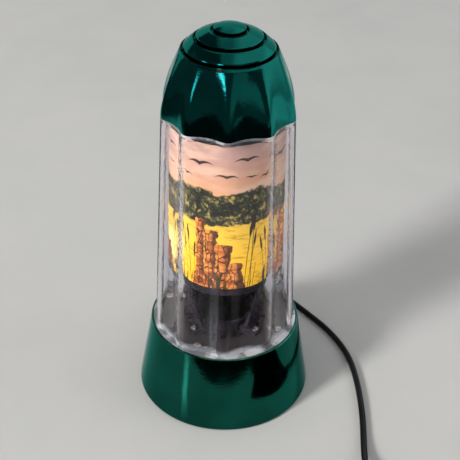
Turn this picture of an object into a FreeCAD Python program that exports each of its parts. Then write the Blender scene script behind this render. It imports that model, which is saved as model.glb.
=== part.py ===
"""Rotating motion lamp: a bulb warms the air in a clear fluted shade, the rising air turns a
vaned printed drum on a needle, and the drum's pictures pass behind a fixed printed film.

Millimetres, +Z up, origin on the floor under the middle of the base, front towards -Y.
"""
import FreeCAD
import Part
import math
import os
import re
import Sketcher

from FreeCAD import Placement, Rotation, Vector

doc = FreeCAD.newDocument("motion_lamp")

# --------------------------------------------------------------------------------------
# Driving dimensions
# --------------------------------------------------------------------------------------
SIZES = {
    # play between pieces
    "lift_gap": 0.3,            # curved faces of pieces that lift off
    "fit_gap": 0.05,            # pins and screws in their holes
    "seat_gap": 0.1,            # pieces that rest on each other without pressing
    "screw_play": 0.3,          # screws through clearance holes
    # base
    "foot_height": 2.5,
    "foot_radius": 5.5,
    "foot_circle": 50.0,
    "base_lift": 1.0,           # lower edge of the base above the floor
    "base_bottom_radius": 63.5,
    "base_top_radius": 53.8,
    "rim_height": 59.0,
    "rim_depth": 2.0,           # from the rim's top down to the shelf
    "rim_wall": 1.2,
    "base_wall": 2.2,
    "shelf_thick": 2.2,
    "shelf_bore": 38.0,
    "boss_radius": 4.0,
    "boss_height": 15.0,
    "boss_inset": 5.0,          # boss axis inside the inner wall at the cover
    "cover_thick": 2.5,
    "cover_screw_radius": 1.5,
    "cover_vent_inner": 20.0,
    "cover_vent_outer": 34.0,
    "cover_vent_width": 3.0,
    # deck inside the shade
    "deck_thick": 2.0,
    "deck_edge_gap": 0.6,
    "deck_screw_radius": 1.3,
    "vent_radius": 2.2,
    "vent_circle": 27.0,
    # shade
    "flange_height": 2.4,
    "flute_count": 10,
    "flute_depth": 4.0,
    "flute_sharpness": 1.5,     # above 1 the ridges are narrower than the hollows
    "shade_wall": 2.6,
    "shade_height": 171.0,      # from the shelf to the lower edge of the cap
    "shade_top_radius": 45.4,   # over the ridges
    "neck_height": 6.0,
    "neck_wall": 1.4,
    # cap
    "cap_wall": 1.5,
    "dome_rise": 42.9,          # from the cap's edge to the outermost ring
    "dome_fall": 14.2,          # how far the dome closes in over that rise
    "dome_power": 1.55,
    "ring_width": 1.9,
    "ring_depth": 1.5,
    "step_height": 1.5,
    "outer_tier_rise": 5.5,
    "outer_tier_width": 6.1,
    "middle_tier_rise": 3.8,
    "middle_tier_width": 9.0,
    "top_tier_rise": 1.6,
    "crown_floor": 1.4,         # wall under the deepest groove
    "cap_vent_count": 8,
    # socket and bulb (medium screw base)
    "socket_radius": 17.5,
    "socket_height": 38.0,
    "socket_floor": 5.0,
    "socket_screw_radius": 1.5,
    "socket_screw_circle": 9.5,
    "thread_radius": 13.1,
    "thread_pitch": 3.6,
    "thread_turns": 5,
    "thread_play": 0.5,
    "socket_shell_wall": 0.4,
    "contact_height": 3.0,
    "strap_thick": 1.2,
    "strap_width": 14.0,
    "strap_length": 60.0,
    "bulb_radius": 23.8,
    "bulb_length": 89.0,
    "bulb_neck_radius": 12.6,
    "bulb_wall": 0.6,
    "bulb_collar_height": 2.0,  # how far the screw cap reaches up round the glass
    # films and drum
    "film_base": 53.0,          # from the shelf to the fixed film's lower edge
    "film_head": 6.0,           # from the film's top to the cap's edge
    "film_thick": 0.4,
    "film_play": 0.8,           # between the film and the hollows of the neck
    "ring_wall": 1.5,
    "drum_gap": 4.1,            # between the outer faces of the two films
    "drum_film_thick": 0.3,
    "drum_drop": 10.0,          # the drum's top below the fixed film's top
    "drum_raise": 2.0,          # the drum's lower edge above the fixed film's
    "hoop_height": 3.0,
    "wheel_height": 7.0,
    "vane_count": 10,
    "vane_tilt": 32.0,
    "vane_thick": 0.7,
    "vane_chord": 12.0,
    "hub_radius": 5.0,
    "bail_inset": 3.8,          # wire axis inside the drum's hoop, but never past the middle
    "wire_radius": 1.0,
    "needle_height": 8.0,
    "needle_radius": 0.8,
    "cup_radius": 2.4,
    "cup_height": 5.5,
    # stand of the fixed film
    "collar_height": 7.0,
    "collar_wall": 2.4,
    "arm_thick": 2.5,
    "arm_width": 8.0,
    "arm_end": 34.0,
    "leg_thick": 2.2,
    "leg_root": 23.0,
    "stand_screw_radius": 1.2,
    "stand_screw_circle": 30.5,
    "sleeve_height": 6.0,
    "lip_thick": 2.0,
    "lip_reach": 0.3,
    # cord and what is on it
    "cord_radius": 2.3,
    "relief_angle": 98.0,       # where the cord leaves, measured from +X
    "relief_height": 13.0,
    "relief_length": 20.0,
    "relief_neck": 4.6,
    "relief_collar": 6.4,
    "collar_thick": 2.6,
    "relief_tip": 3.1,
    "relief_play": 0.45,        # inner collar off the curved wall
    "clamp_reach": 38.0,        # clamp's distance from the lamp's axis
    "clamp_spread": 8.0,
    "clamp_screw_radius": 1.2,
    "clamp_post_radius": 3.0,
    "clamp_thick": 2.2,
    "clamp_width": 7.0,
    "lead_radius": 0.9,
    "coil_middle_radius": 25.3,
    "coil_turns_wide": 4,
    "coil_turns_high": 2,
    "tie_thick": 0.6,
    "tie_width": 4.0,
    "switch_length": 58.0,
    "switch_width": 26.0,
    "switch_height": 16.0,
    "switch_screw_radius": 1.2,
    "switch_screw_reach": 20.0,
    "rocker_radius": 10.0,
    "rocker_width": 11.0,
    "rocker_crest": 8.0,        # middle of the rocker's top above its pivot
    "rocker_foot": 1.0,         # flat underside below the pivot
    "rocker_tilt": 10.0,
    "rocker_pin_radius": 1.5,
    "rocker_pin_length": 1.5,
    "plug_length": 26.0,
    "plug_width": 25.0,
    "plug_height": 14.0,
    "plug_neck_length": 14.0,
    "blade_length": 17.2,
    "blade_width": 6.3,
    "blade_thick": 1.5,
    "blade_spacing": 12.7,
}

sheet = doc.addObject("Spreadsheet::Sheet", "sizes")
for row, (alias, number) in enumerate(SIZES.items(), 1):
    sheet.set(f"A{row}", alias)
    sheet.set(f"B{row}", str(number))
    sheet.setAlias(f"B{row}", alias)
doc.recompute()


def bound(expression):
    """The expression with each alias written as a cell of the sheet."""
    return re.sub(r"\b[a-z]\w+\b(?!\()", lambda word: "sizes." + word[0], str(expression))


def size(expression):
    """The expression's value with the sheet's present numbers."""
    return float(sheet.evalExpression(bound(expression)))


# Levels and radii that several pieces share, as expressions on the sheet
shelf = "(rim_height - rim_depth)"
shelf_under = f"({shelf} - shelf_thick)"
deck_top = f"({shelf} + deck_thick)"
cone_slope = "((base_bottom_radius - base_top_radius) / (rim_height - base_lift))"
cover_top = "(foot_height + cover_thick)"
cover_wall_radius = f"(base_bottom_radius - base_wall - {cone_slope} * ({cover_top} - base_lift))"
cover_radius = f"({cover_wall_radius} - lift_gap)"
boss_circle = f"({cover_wall_radius} - boss_inset)"
flange_radius = "(base_top_radius - rim_wall - lift_gap)"
flange_top = f"({shelf} + flange_height)"
shade_low_radius = f"({flange_radius} - lift_gap)"
deck_radius = f"({shade_low_radius} - flute_depth - shade_wall - deck_edge_gap)"
deck_screw_circle = f"((shelf_bore + {deck_radius}) / 2)"
cap_edge = f"({shelf} + shade_height)"
neck_inset = "(cap_wall + lift_gap + neck_wall)"
dome_top = f"({cap_edge} + dome_rise)"
outer_ring_radius = "(shade_top_radius - dome_fall)"
middle_ring_radius = f"({outer_ring_radius} - ring_width - outer_tier_width)"
inner_ring_radius = f"({middle_ring_radius} - ring_width - middle_tier_width)"
middle_ring_top = f"({dome_top} + step_height + outer_tier_rise)"
inner_ring_top = f"({middle_ring_top} + step_height + middle_tier_rise)"
socket_top = f"({deck_top} + socket_height)"
socket_well = f"({deck_top} + socket_floor)"
socket_bore = "(thread_radius + thread_play + socket_shell_wall)"
bulb_foot = f"({socket_well} + contact_height)"
bulb_collar = f"({bulb_foot} + thread_pitch * thread_turns + 7)"
bulb_top = f"({bulb_foot} + bulb_length)"
bulb_centre = f"({bulb_top} - bulb_radius)"
film_low = f"({shelf} + film_base)"
foot_crest = f"({shade_low_radius} - ({shade_low_radius} - shade_top_radius) * film_base / shade_height)"
film_room = f"min(shade_top_radius - {neck_inset}, {foot_crest} - shade_wall - lip_reach)"
film_radius = f"({film_room} - flute_depth - film_play)"
film_top = f"({cap_edge} - film_head)"
sleeve_radius = f"({film_radius} - film_thick - fit_gap)"
sleeve_bore = f"({sleeve_radius} - ring_wall)"
lip_radius = f"({film_radius} + lip_reach)"
drum_radius = f"({film_radius} - drum_gap)"
drum_low = f"({film_low} + drum_raise)"
drum_top = f"({film_top} - drum_drop)"
hoop_radius = f"({drum_radius} - drum_film_thick)"
hoop_bore = f"({hoop_radius} - ring_wall)"
wheel_low = f"({drum_top} - wheel_height)"
needle_tip = f"({wheel_low} - 1)"
bail_radius = f"({hoop_bore} - min(bail_inset, ({hoop_bore} - bulb_radius) / 2))"
bail_top = f"({needle_tip} - needle_height)"
collar_bore = "(socket_radius + lift_gap)"
collar_radius = f"({collar_bore} + collar_wall)"
arm_top = f"({deck_top} + arm_thick)"
arm_reach = f"max(arm_end, {bail_radius} + 0.75 * arm_width)"
saddle_reach = "(clamp_reach - clamp_width / 2)"
saddle_drop = f"((base_bottom_radius + {cone_slope} * base_lift - {saddle_reach}) * {cone_slope})"
lowest_relief = f"(({cover_top} + cord_radius + seat_gap + {saddle_drop}) / (1 + {cone_slope}^2))"
relief_level = f"max(relief_height, {lowest_relief})"
relief_reach = f"(base_bottom_radius - {cone_slope} * ({relief_level} - base_lift))"

LEG_ANGLES = (45, 135, 225, 315)
BAIL_ANGLES = (0, 180)
COVER_SCREW_ANGLES = (45, 135, 225, 315)
DECK_SCREW_ANGLES = (64, 154, 244, 334)
FOOT_ANGLES = (0, 90, 180, 270)
QUARTER_VENTS = (15.5, 29.5, 61, 75.5)      # deck vents between two arms, mirrored and repeated
COVER_VENTS = 18                            # evenly round the cover, less those at the clamp
LEAD_X = 5.0                                # where each lead goes up into the socket
LEAD_Y = 10.5

# The cord inside the base: its straight run through the clamp, then points up to the socket,
# laid out with the cord coming in along +Y
INNER_RUN = 26.0
INNER_POINTS = [(0, 16.9, 13.5), (0, 7.7, 25.3), (0, 5.3, 39.1)]

# Route of the cord on the floor, from the strain relief's first run to the switch,
# from the switch to the coil, and from the coil to the plug
RELIEF_RUN = 15.0
RUN_POINTS = [(-7.5, 109.5, 17.6), (4.7, 118.6, 12.6), (19.8, 120.4, 6.8), (33.6, 114.3, 3.2),
              (47.5, 96, 2.3), (65.5, 74.2, 2.3), (85, 49.2, 2.3), (98, 20.8, 2.3),
              (102.3, -9.5, 2.3), (103.1, -42, 2.3), (101.9, -65, 2.3), (100.4, -84, 3.6),
              (99.4, -102, 8), (99.4, -118, 8)]
TAIL_POINTS = [(99.4, -176, 8), (99.4, -189.5, 8), (95.2, -202.3, 5.6), (86.2, -212.4, 3.4),
               (74.1, -217.7, 2.9), (63.2, -218.5, 2.9)]
END_POINTS = [(28.6, -218.4, 7.3), (14.3, -217, 7), (0, -217, 7)]
COIL_CENTRE = (46, -186)

PIECES = {}


# --------------------------------------------------------------------------------------
# Ways of making a piece
# --------------------------------------------------------------------------------------
def keep(label, thing):
    """Gives an object its label and counts it as a piece of the lamp."""
    thing.Label = label
    PIECES[label] = thing
    return thing


def profile_sketch(body, name, corners):
    """A closed outline on the body's XZ plane; each corner is (radius, height) on the sheet."""
    sketch = body.newObject("Sketcher::SketchObject", name)
    plane = [item for item in body.Origin.OriginFeatures if item.Role == "XZ_Plane"][0]
    sketch.AttachmentSupport = [(plane, "")]
    sketch.MapMode = "FlatFace"
    points = [Vector(size(radius), size(height), 0) for radius, height in corners]
    count = len(points)
    for index in range(count):
        sketch.addGeometry(Part.LineSegment(points[index], points[(index + 1) % count]), False)
    for index in range(count):
        sketch.addConstraint(Sketcher.Constraint("Coincident", index, 2, (index + 1) % count, 1))
    for index, (radius, height) in enumerate(corners):
        if radius == "0":
            sketch.addConstraint(Sketcher.Constraint("PointOnObject", index, 1, -2))
        else:
            across = Sketcher.Constraint("DistanceX", -1, 1, index, 1, points[index].x)
            sketch.setExpression(f"Constraints[{sketch.addConstraint(across)}]", bound(radius))
        if height == "0":
            sketch.addConstraint(Sketcher.Constraint("PointOnObject", index, 1, -1))
        else:
            upwards = Sketcher.Constraint("DistanceY", -1, 1, index, 1, points[index].y)
            sketch.setExpression(f"Constraints[{sketch.addConstraint(upwards)}]", bound(height))
    return sketch


def circle_edges(shape, radius, height):
    """Names of the edges round Z with this radius at this height."""
    names = []
    for index, edge in enumerate(shape.Edges, 1):
        curve = edge.Curve
        if (isinstance(curve, Part.Circle) and abs(curve.Radius - radius) < 0.01
                and abs(curve.Center.z - height) < 0.01):
            names.append(f"Edge{index}")
    return names


def turned(label, corners, rounds=(), piece=True):
    """A body turned about Z from an outline; rounds lists (radius, height, fillet) of edges."""
    body = doc.addObject("PartDesign::Body", label)
    sketch = profile_sketch(body, label + "_outline", corners)
    turn = body.newObject("PartDesign::Revolution", label + "_turn")
    turn.Profile = sketch
    turn.ReferenceAxis = (sketch, ["V_Axis"])
    turn.Angle = 360
    doc.recompute()
    tip = turn
    for number, (radius, height, fillet) in enumerate(rounds):
        names = circle_edges(tip.Shape, size(radius), size(height))
        blend = body.newObject("PartDesign::Fillet", f"{label}_round_{number}")
        blend.Base = (tip, names)
        blend.setExpression("Radius", bound(fillet))
        doc.recompute()
        tip = blend
    if piece:
        keep(label, body)
    return body


def ring(label, bore, radius, low, high, rounds=()):
    """A plain turned ring between two radii and two levels."""
    return turned(label, [(bore, low), (radius, low), (radius, high), (bore, high)], rounds)


def block(name, sides, base):
    """A Part box from its lowest corner; every number is an expression on the sheet."""
    brick = doc.addObject("Part::Box", name)
    for side, number in zip(("Length", "Width", "Height"), sides):
        brick.setExpression(side, bound(number))
    for axis, number in zip("xyz", base):
        brick.setExpression(f"Placement.Base.{axis}", bound(number))
    return brick


def cut(name, base, tool):
    """The base with the tool taken away."""
    result = doc.addObject("Part::Cut", name)
    result.Base = base
    result.Tool = tool
    return result


def fused(name, *parts):
    """The parts joined to one solid."""
    result = doc.addObject("Part::MultiFuse", name)
    result.Shapes = list(parts)
    return result


def grouped(name, shapes):
    """Separate solids, worked out from the sheet, as one object to join or take away."""
    thing = doc.addObject("Part::Feature", name)
    thing.Shape = Part.makeCompound(shapes)
    return thing


def shaped(label, shape):
    """A piece whose shape is worked out here from the sheet's sizes."""
    thing = doc.addObject("Part::Feature", label)
    thing.Shape = shape
    return keep(label, thing)


def on_circle(radius, angle, height=0.0):
    """A point at this angle on a circle about Z."""
    turn = math.radians(angle)
    return Vector(radius * math.cos(turn), radius * math.sin(turn), height)


def around(shape, angles):
    """Copies of a shape turned about Z to each angle."""
    copies = []
    for angle in angles:
        copy = shape.copy()
        copy.rotate(Vector(0, 0, 0), Vector(0, 0, 1), angle)
        copies.append(copy)
    return copies


def rod(radius, low, high, x=0.0, y=0.0):
    """An upright cylinder between two levels."""
    return Part.makeCylinder(radius, high - low, Vector(x, y, low))


def outline_face(corners):
    """A flat face on the XZ plane through straight corners (x, z)."""
    points = [Vector(x, 0, z) for x, z in corners]
    return Part.Face(Part.makePolygon(points + points[:1]))


def spun(corners):
    """A solid turned about Z from straight corners (radius, height)."""
    return outline_face(corners).revolve(Vector(0, 0, 0), Vector(0, 0, 1), 360)


def pan_screw(shank, length, head, thick):
    """A screw pointing down from z = 0 with a rounded head above it and a cross recess."""
    shoulder = head * 0.75
    edges = Part.makePolygon([Vector(shoulder, 0, thick), Vector(0, 0, thick), Vector(0, 0, -length),
                              Vector(shank * 0.5, 0, -length), Vector(shank, 0, shank - length),
                              Vector(shank, 0, 0), Vector(head, 0, 0), Vector(head, 0, thick * 0.4)])
    crown = Part.Arc(Vector(head, 0, thick * 0.4), Vector(head * 0.93, 0, thick * 0.8),
                     Vector(shoulder, 0, thick)).toShape()
    outline = Part.Wire(edges.Edges + [crown])
    screw = Part.Face(outline).revolve(Vector(0, 0, 0), Vector(0, 0, 1), 360)
    reach = head * 0.5
    half = head * 0.12
    slot = Part.makeBox(2 * reach, 2 * half, thick, Vector(-reach, -half, thick * 0.5))
    return screw.cut(Part.makeCompound(around(slot, (0, 90))))


def screws(label, places, shank, length, upwards=False):
    """Equal screws as one piece; they point down, or up when their heads are underneath."""
    head = 2 * shank
    pattern = pan_screw(shank, length, head, 1.2 * shank)
    if upwards:
        pattern.rotate(Vector(0, 0, 0), Vector(1, 0, 0), 180)
    copies = []
    for place in places:
        copy = pattern.copy()
        copy.translate(place)
        copies.append(copy)
    return shaped(label, Part.makeCompound(copies))


def bent_path(points):
    """Straight runs joined by tangent arcs, each as large as its two runs allow."""
    corners = [Vector(*point) for point in points]
    edges = []
    start = corners[0]
    tightest = None
    for before, corner, after in zip(corners, corners[1:], corners[2:]):
        entry = (before - corner).normalize()
        leave = (after - corner).normalize()
        turn = math.pi - entry.getAngle(leave)
        reach = 0.45 * min((before - corner).Length, (after - corner).Length)
        radius = reach / math.tan(turn / 2)
        tightest = radius if tightest is None else min(tightest, radius)
        first = corner + entry * reach
        last = corner + leave * reach
        middle = (entry + leave).normalize()
        depth = radius / math.cos(turn / 2) - radius
        edges.append(Part.LineSegment(start, first).toShape())
        edges.append(Part.Arc(first, corner + middle * depth, last).toShape())
        start = last
    edges.append(Part.LineSegment(start, corners[-1]).toShape())
    return Part.Wire(edges), tightest


def tube(label, points, radius):
    """A round cord swept along the bent path of its points."""
    path, tightest = bent_path(points)
    first = Vector(*points[1]) - Vector(*points[0])
    section = Part.Wire([Part.makeCircle(radius, Vector(*points[0]), first)])
    solid = path.makePipeShell([section], True, False)
    expected = math.pi * radius ** 2 * path.Length
    print(f"{label}: length {path.Length:.1f}, tightest radius {tightest:.1f}, "
          f"volume over expected {solid.Volume / expected:.4f}")
    return solid


# --------------------------------------------------------------------------------------
# Fluted outline shared by the shade and the cap
# --------------------------------------------------------------------------------------
def fluted_wire(height, crest_radius, depth, inset):
    """A closed fluted curve at one height, with a ridge facing -Y."""
    count = int(size("flute_count"))
    steps = 8 * count
    sharpness = size("flute_sharpness")
    points = []
    for step in range(steps):
        angle = 2 * math.pi * step / steps
        ridge = ((1 + math.cos(count * angle)) / 2) ** sharpness
        radius = crest_radius - depth * (1 - ridge) - inset
        points.append(Vector(radius * math.sin(angle), -radius * math.cos(angle), height))
    curve = Part.BSplineCurve()
    curve.interpolate(Points=points, PeriodicFlag=True)
    return Part.Wire([curve.toShape()])


def shade_body(low, high, inset):
    """The solid inside the shade's outer face, moved inwards by the inset."""
    bottom = size(shelf)
    taper = (size(shade_low_radius) - size("shade_top_radius")) / size("shade_height")
    wires = []
    for height in (low, high):
        crest = size(shade_low_radius) - taper * (height - bottom)
        wires.append(fluted_wire(height, crest, size("flute_depth"), inset))
    return Part.makeLoft(wires, True, True)


def dome_wire(height, inset):
    """The fluted dome's outline at a height; the flutes fade out towards the rings."""
    share = max((height - size(cap_edge)) / size("dome_rise"), 0)
    crest = size("shade_top_radius") - size("dome_fall") * share ** size("dome_power")
    return fluted_wire(height, crest, size("flute_depth") * (1 - share), inset)


def dome_body(low, high, inset, levels=9):
    """The solid inside the dome's outer face, moved inwards by the inset."""
    heights = [low + (high - low) * level / (levels - 1) for level in range(levels)]
    return Part.makeLoft([dome_wire(height, inset) for height in heights], True, False)


# --------------------------------------------------------------------------------------
# Base and what closes it
# --------------------------------------------------------------------------------------
def relief_frame():
    """Placement whose Z runs out of the base's wall where the cord leaves, origin on the wall."""
    lean = math.degrees(math.atan(size(cone_slope)))
    reach = size(relief_reach)
    turn = Rotation(Vector(0, 0, 1), size("relief_angle") - 90)
    tilt = Rotation(Vector(1, 0, 0), lean - 90)
    return Placement(on_circle(reach, size("relief_angle"), size(relief_level)),
                     turn.multiply(tilt))


def along_relief(distance):
    """A point on the strain relief's axis, positive outside the wall."""
    return relief_frame().multVec(Vector(0, 0, distance))


def make_base_shell():
    """Conical shell with a shelf and a rim on top, screw bosses and the hole for the cord."""
    under_radius = f"base_bottom_radius - base_wall - {cone_slope} * ({shelf_under} - base_lift)"
    blank = turned("base_blank", [
        ("base_bottom_radius - base_wall", "base_lift"),
        ("base_bottom_radius", "base_lift"),
        ("base_top_radius", "rim_height"),
        ("base_top_radius - rim_wall", "rim_height"),
        ("base_top_radius - rim_wall", shelf),
        ("shelf_bore", shelf),
        ("shelf_bore", shelf_under),
        (under_radius, shelf_under),
    ], rounds=[("base_top_radius", "rim_height", "rim_wall * 0.45"),
               ("base_bottom_radius", "base_lift", "base_wall * 0.3")], piece=False)
    low = size(cover_top)
    high = low + size("boss_height")
    reach = size(boss_circle)
    wall = size("base_wall")
    rib = Part.makeBox(size("boss_inset"), wall, high - low, Vector(reach, -wall / 2, low))
    room = Part.makeCone(size("base_bottom_radius - base_wall * 0.5"),
                         size("base_top_radius - base_wall * 0.5"),
                         size("rim_height - base_lift"), Vector(0, 0, size("base_lift")))
    pillar = rod(size("boss_radius"), low, high, reach).fuse(rib).common(room)
    pillars = grouped("base_pillars", around(pillar, COVER_SCREW_ANGLES))
    pilot = rod(size("cover_screw_radius + fit_gap"), low, high - 3, reach)
    deck_hole = rod(size("deck_screw_radius + fit_gap"), size(shelf_under), size(shelf),
                    size(deck_screw_circle))
    reach_through = 4 * wall
    cord_hole = Part.makeCylinder(size("relief_neck + lift_gap"), 2 * reach_through,
                                  along_relief(-reach_through), along_relief(1) - along_relief(0))
    holes = grouped("base_holes", around(pilot, COVER_SCREW_ANGLES)
                    + around(deck_hole, DECK_SCREW_ANGLES) + [cord_hole])
    keep("base_shell", cut("base_shell", fused("base_with_pillars", blank, pillars), holes))


def make_bottom_cover():
    """Plate under the base with air slots, and the posts and saddle of the cord clamp."""
    plate = turned("cover_plate", [("0", "foot_height"), (cover_radius, "foot_height"),
                                   (cover_radius, cover_top), ("0", cover_top)],
                   rounds=[(cover_radius, "foot_height", "0.6")], piece=False)
    low = size("foot_height")
    high = size(cover_top)
    half = size("cover_vent_width") / 2
    inner = size("cover_vent_inner")
    outer = size("cover_vent_outer")
    slot = Part.makeBox(outer - inner, 2 * half, high - low, Vector(inner, -half, low))
    slot = slot.fuse([rod(half, low, high, inner), rod(half, low, high, outer)])
    step = 360 / COVER_VENTS
    vent_angles = [index * step for index in range(COVER_VENTS)
                   if abs(index * step - size("relief_angle")) > step]
    hole = rod(size("cover_screw_radius + screw_play"), low, high, size(boss_circle))
    openings = grouped("cover_openings", around(slot, vent_angles) + around(hole, COVER_SCREW_ANGLES))
    supports = grouped("cover_supports", [clamp_support()])
    pilots = grouped("cover_pilots",
                     clamp_holes(high, clamp_level(), size("clamp_screw_radius + fit_gap")))
    body = fused("cover_with_posts", cut("cover_open", plate, openings), supports)
    keep("bottom_cover", cut("bottom_cover", body, pilots))


def cord_height(distance):
    """Height of the cord's axis inside the base at this distance from the lamp's axis."""
    return size(relief_level) - (size(relief_reach) - distance) * size(cone_slope)


def clamp_level():
    """Underside of the clamp bar, just over the sloping cord."""
    far = size("clamp_reach + clamp_width / 2")
    return cord_height(far) + size("cord_radius + seat_gap")


def to_cord_side(point):
    """A point laid out with the cord coming in along +Y, turned to where it really comes in."""
    return Rotation(Vector(0, 0, 1), size("relief_angle") - 90).multVec(point)


def turned_to_cord(shape):
    """A shape laid out with the cord coming in along +Y, turned to where it really comes in."""
    return around(shape, (size("relief_angle") - 90,))[0]


def clamp_support():
    """The saddle under the cord with the two posts that take the clamp's screws."""
    spread = size("clamp_spread")
    reach = size("clamp_reach")
    width = size("clamp_width")
    floor = size(f"{cover_top} - cover_thick / 2")
    near = reach - width / 2
    rest = cord_height(near) - size("cord_radius + seat_gap")
    saddle = Part.makeBox(2 * spread, width, rest - floor, Vector(-spread, near, floor))
    posts = [rod(size("clamp_post_radius"), floor, clamp_level(), side * spread, reach)
             for side in (-1, 1)]
    return turned_to_cord(saddle.fuse(posts))


def clamp_holes(low, high, radius):
    """Upright holes at the clamp's two screws."""
    spread = size("clamp_spread")
    reach = size("clamp_reach")
    return [turned_to_cord(rod(radius, low, high, side * spread, reach)) for side in (-1, 1)]


def make_cord_clamp():
    """Flat bar screwed over the cord inside the base."""
    low = clamp_level()
    high = low + size("clamp_thick")
    spread = size("clamp_spread")
    width = size("clamp_width")
    reach = size("clamp_reach")
    bar = Part.makeBox(2 * spread, width, high - low, Vector(-spread, reach - width / 2, low))
    ends = [rod(width / 2, low, high, side * spread, reach) for side in (-1, 1)]
    bar = turned_to_cord(bar.fuse(ends).removeSplitter())
    holes = clamp_holes(low, high, size("clamp_screw_radius + screw_play"))
    shaped("cord_clamp", bar.cut(Part.makeCompound(holes)))
    places = [to_cord_side(Vector(side * spread, reach, high)) for side in (-1, 1)]
    screws("clamp_screws", places, size("clamp_screw_radius"), size("clamp_thick") + 4)


def make_feet_and_cover_screws():
    """Rubber feet under the cover and the screws that hold the cover."""
    radius = size("foot_radius")
    top = size("foot_height")
    edge = radius - 1
    foot = spun([(0, 0), (edge, 0), (radius, 1), (radius, top), (0, top)])
    foot.translate(Vector(size("foot_circle"), 0, 0))
    shaped("rubber_feet", Part.makeCompound(around(foot, FOOT_ANGLES)))
    places = [on_circle(size(boss_circle), angle, top) for angle in COVER_SCREW_ANGLES]
    screws("cover_screws", places, size("cover_screw_radius"), 12.0, upwards=True)


def make_base_deck():
    """Disc on the shelf with the socket's lead holes and a ring of air vents."""
    disc = turned("deck_disc", [("0", shelf), (deck_radius, shelf), (deck_radius, deck_top),
                                ("0", deck_top)],
                  rounds=[(deck_radius, deck_top, "0.5")], piece=False)
    low = size(shelf)
    high = size(deck_top)
    vent = rod(size("vent_radius"), low, high, size("vent_circle"))
    half_turn = [angle for angle in QUARTER_VENTS] + [180 - angle for angle in QUARTER_VENTS] + [90]
    vents = around(vent, half_turn + [angle + 180 for angle in half_turn])
    hole = rod(size("deck_screw_radius + screw_play"), low, high, size(deck_screw_circle))
    stand_hole = rod(size("stand_screw_radius + fit_gap"), low, high, size("stand_screw_circle"))
    socket_hole = rod(size("socket_screw_radius + screw_play"), low, high, size("socket_screw_circle"))
    lead_holes = [rod(size("lead_radius + screw_play"), low, high, side * LEAD_X, LEAD_Y)
                  for side in (-1, 1)]
    openings = grouped("deck_openings", vents + around(hole, DECK_SCREW_ANGLES)
                       + around(stand_hole, LEG_ANGLES) + around(socket_hole, BAIL_ANGLES)
                       + lead_holes)
    keep("base_deck", cut("base_deck", disc, openings))
    places = [on_circle(size(deck_screw_circle), angle, high) for angle in DECK_SCREW_ANGLES]
    screws("deck_screws", places, size("deck_screw_radius"), size("deck_thick + shelf_thick + 1"))


# --------------------------------------------------------------------------------------
# Socket, its wiring and the bulb
# --------------------------------------------------------------------------------------
def make_socket():
    """Moulded socket with its brass shell, centre contact, strap and screws."""
    body = turned("socket_body", [
        ("0", deck_top), ("socket_radius", deck_top),
        ("socket_radius", f"{socket_top} - socket_height * 0.45"),
        ("socket_radius - 0.8", f"{socket_top} - socket_height * 0.45"),
        ("socket_radius - 0.8", socket_top), (socket_bore, socket_top),
        (socket_bore, socket_well), ("0", socket_well),
    ], rounds=[("socket_radius - 0.8", socket_top, "0.8")], piece=False)
    base = size(deck_top)
    well = size(socket_well)
    pilots = around(rod(size("socket_screw_radius + fit_gap"), base, well - 0.5,
                        size("socket_screw_circle")), BAIL_ANGLES)
    leads = [rod(size("lead_radius + fit_gap"), base, well - 1.5, side * LEAD_X, LEAD_Y)
             for side in (-1, 1)]
    rivet = rod(1.2 + size("fit_gap"), well - 3, well)
    holes = grouped("socket_holes", pilots + leads + [rivet])
    keep("lamp_socket", cut("lamp_socket", body, holes))
    ring("socket_shell", f"{socket_bore} - socket_shell_wall - fit_gap", f"{socket_bore} - fit_gap",
         f"{socket_well} + 0.5", f"{socket_top} - 3")
    make_contact(well)
    make_strap()


def make_contact(well):
    """Springy brass tongue under the bulb's tip, with its rivet."""
    top = size(bulb_foot) - size("seat_gap")
    thick = 0.5
    strip = outline_face([(-7, well), (5, well), (5, well + thick), (-5, well + thick),
                          (0, top - thick), (3.5, top - thick), (3.5, top), (-0.3, top),
                          (-5.6, well + 1.6 * thick), (-7, well + 1.6 * thick)])
    width = 5.0
    strip = strip.extrude(Vector(0, width, 0))
    strip.translate(Vector(0, -width / 2, 0))
    shaped("socket_contact", strip.fuse(rod(1.2, well - 3, well)).removeSplitter())


def make_strap():
    """Steel strap under the deck; its two screws reach through the deck into the socket."""
    strap = block("strap_bar", ("strap_length", "strap_width", "strap_thick"),
                  ("-strap_length / 2", "-strap_width / 2", f"{shelf} - strap_thick"))
    low = size(f"{shelf} - strap_thick")
    holes = around(rod(size("socket_screw_radius + screw_play"), low, size(shelf),
                       size("socket_screw_circle")), BAIL_ANGLES)
    keep("socket_strap", cut("socket_strap", strap, grouped("strap_holes", holes)))
    places = [on_circle(size("socket_screw_circle"), angle, low) for angle in BAIL_ANGLES]
    length = size("strap_thick + deck_thick + socket_floor - 1")
    screws("socket_screws", places, size("socket_screw_radius"), length, upwards=True)


def make_wiring():
    """The sheathed cord inside the base and its two leads to the socket."""
    start = size("-base_wall - relief_play - collar_thick")
    to_saddle = size(f"({relief_reach} - {saddle_reach}) * sqrt(1 + {cone_slope}^2)") + start
    run = max(INNER_RUN, to_saddle + 1)
    points = [along_relief(start), along_relief(start - run)]
    points += [to_cord_side(Vector(*point)) for point in INNER_POINTS]
    shaped("inner_cord", tube("inner_cord", points, size("cord_radius")))
    rise = (points[-1] - points[-2]).normalize()
    offset = size("lead_radius") + 0.2
    entry = size(socket_well) - 2
    leads = []
    for hand in (-1, 1):
        first = points[-1] + to_cord_side(Vector(hand * offset, 0, 0))
        last = Vector(hand * LEAD_X, LEAD_Y, entry)
        below = Vector(last.x, last.y, entry - 7)
        leads.append(tube("socket_lead", [first, first + rise * 4, below, last], size("lead_radius")))
    shaped("socket_leads", Part.makeCompound(leads))


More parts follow.
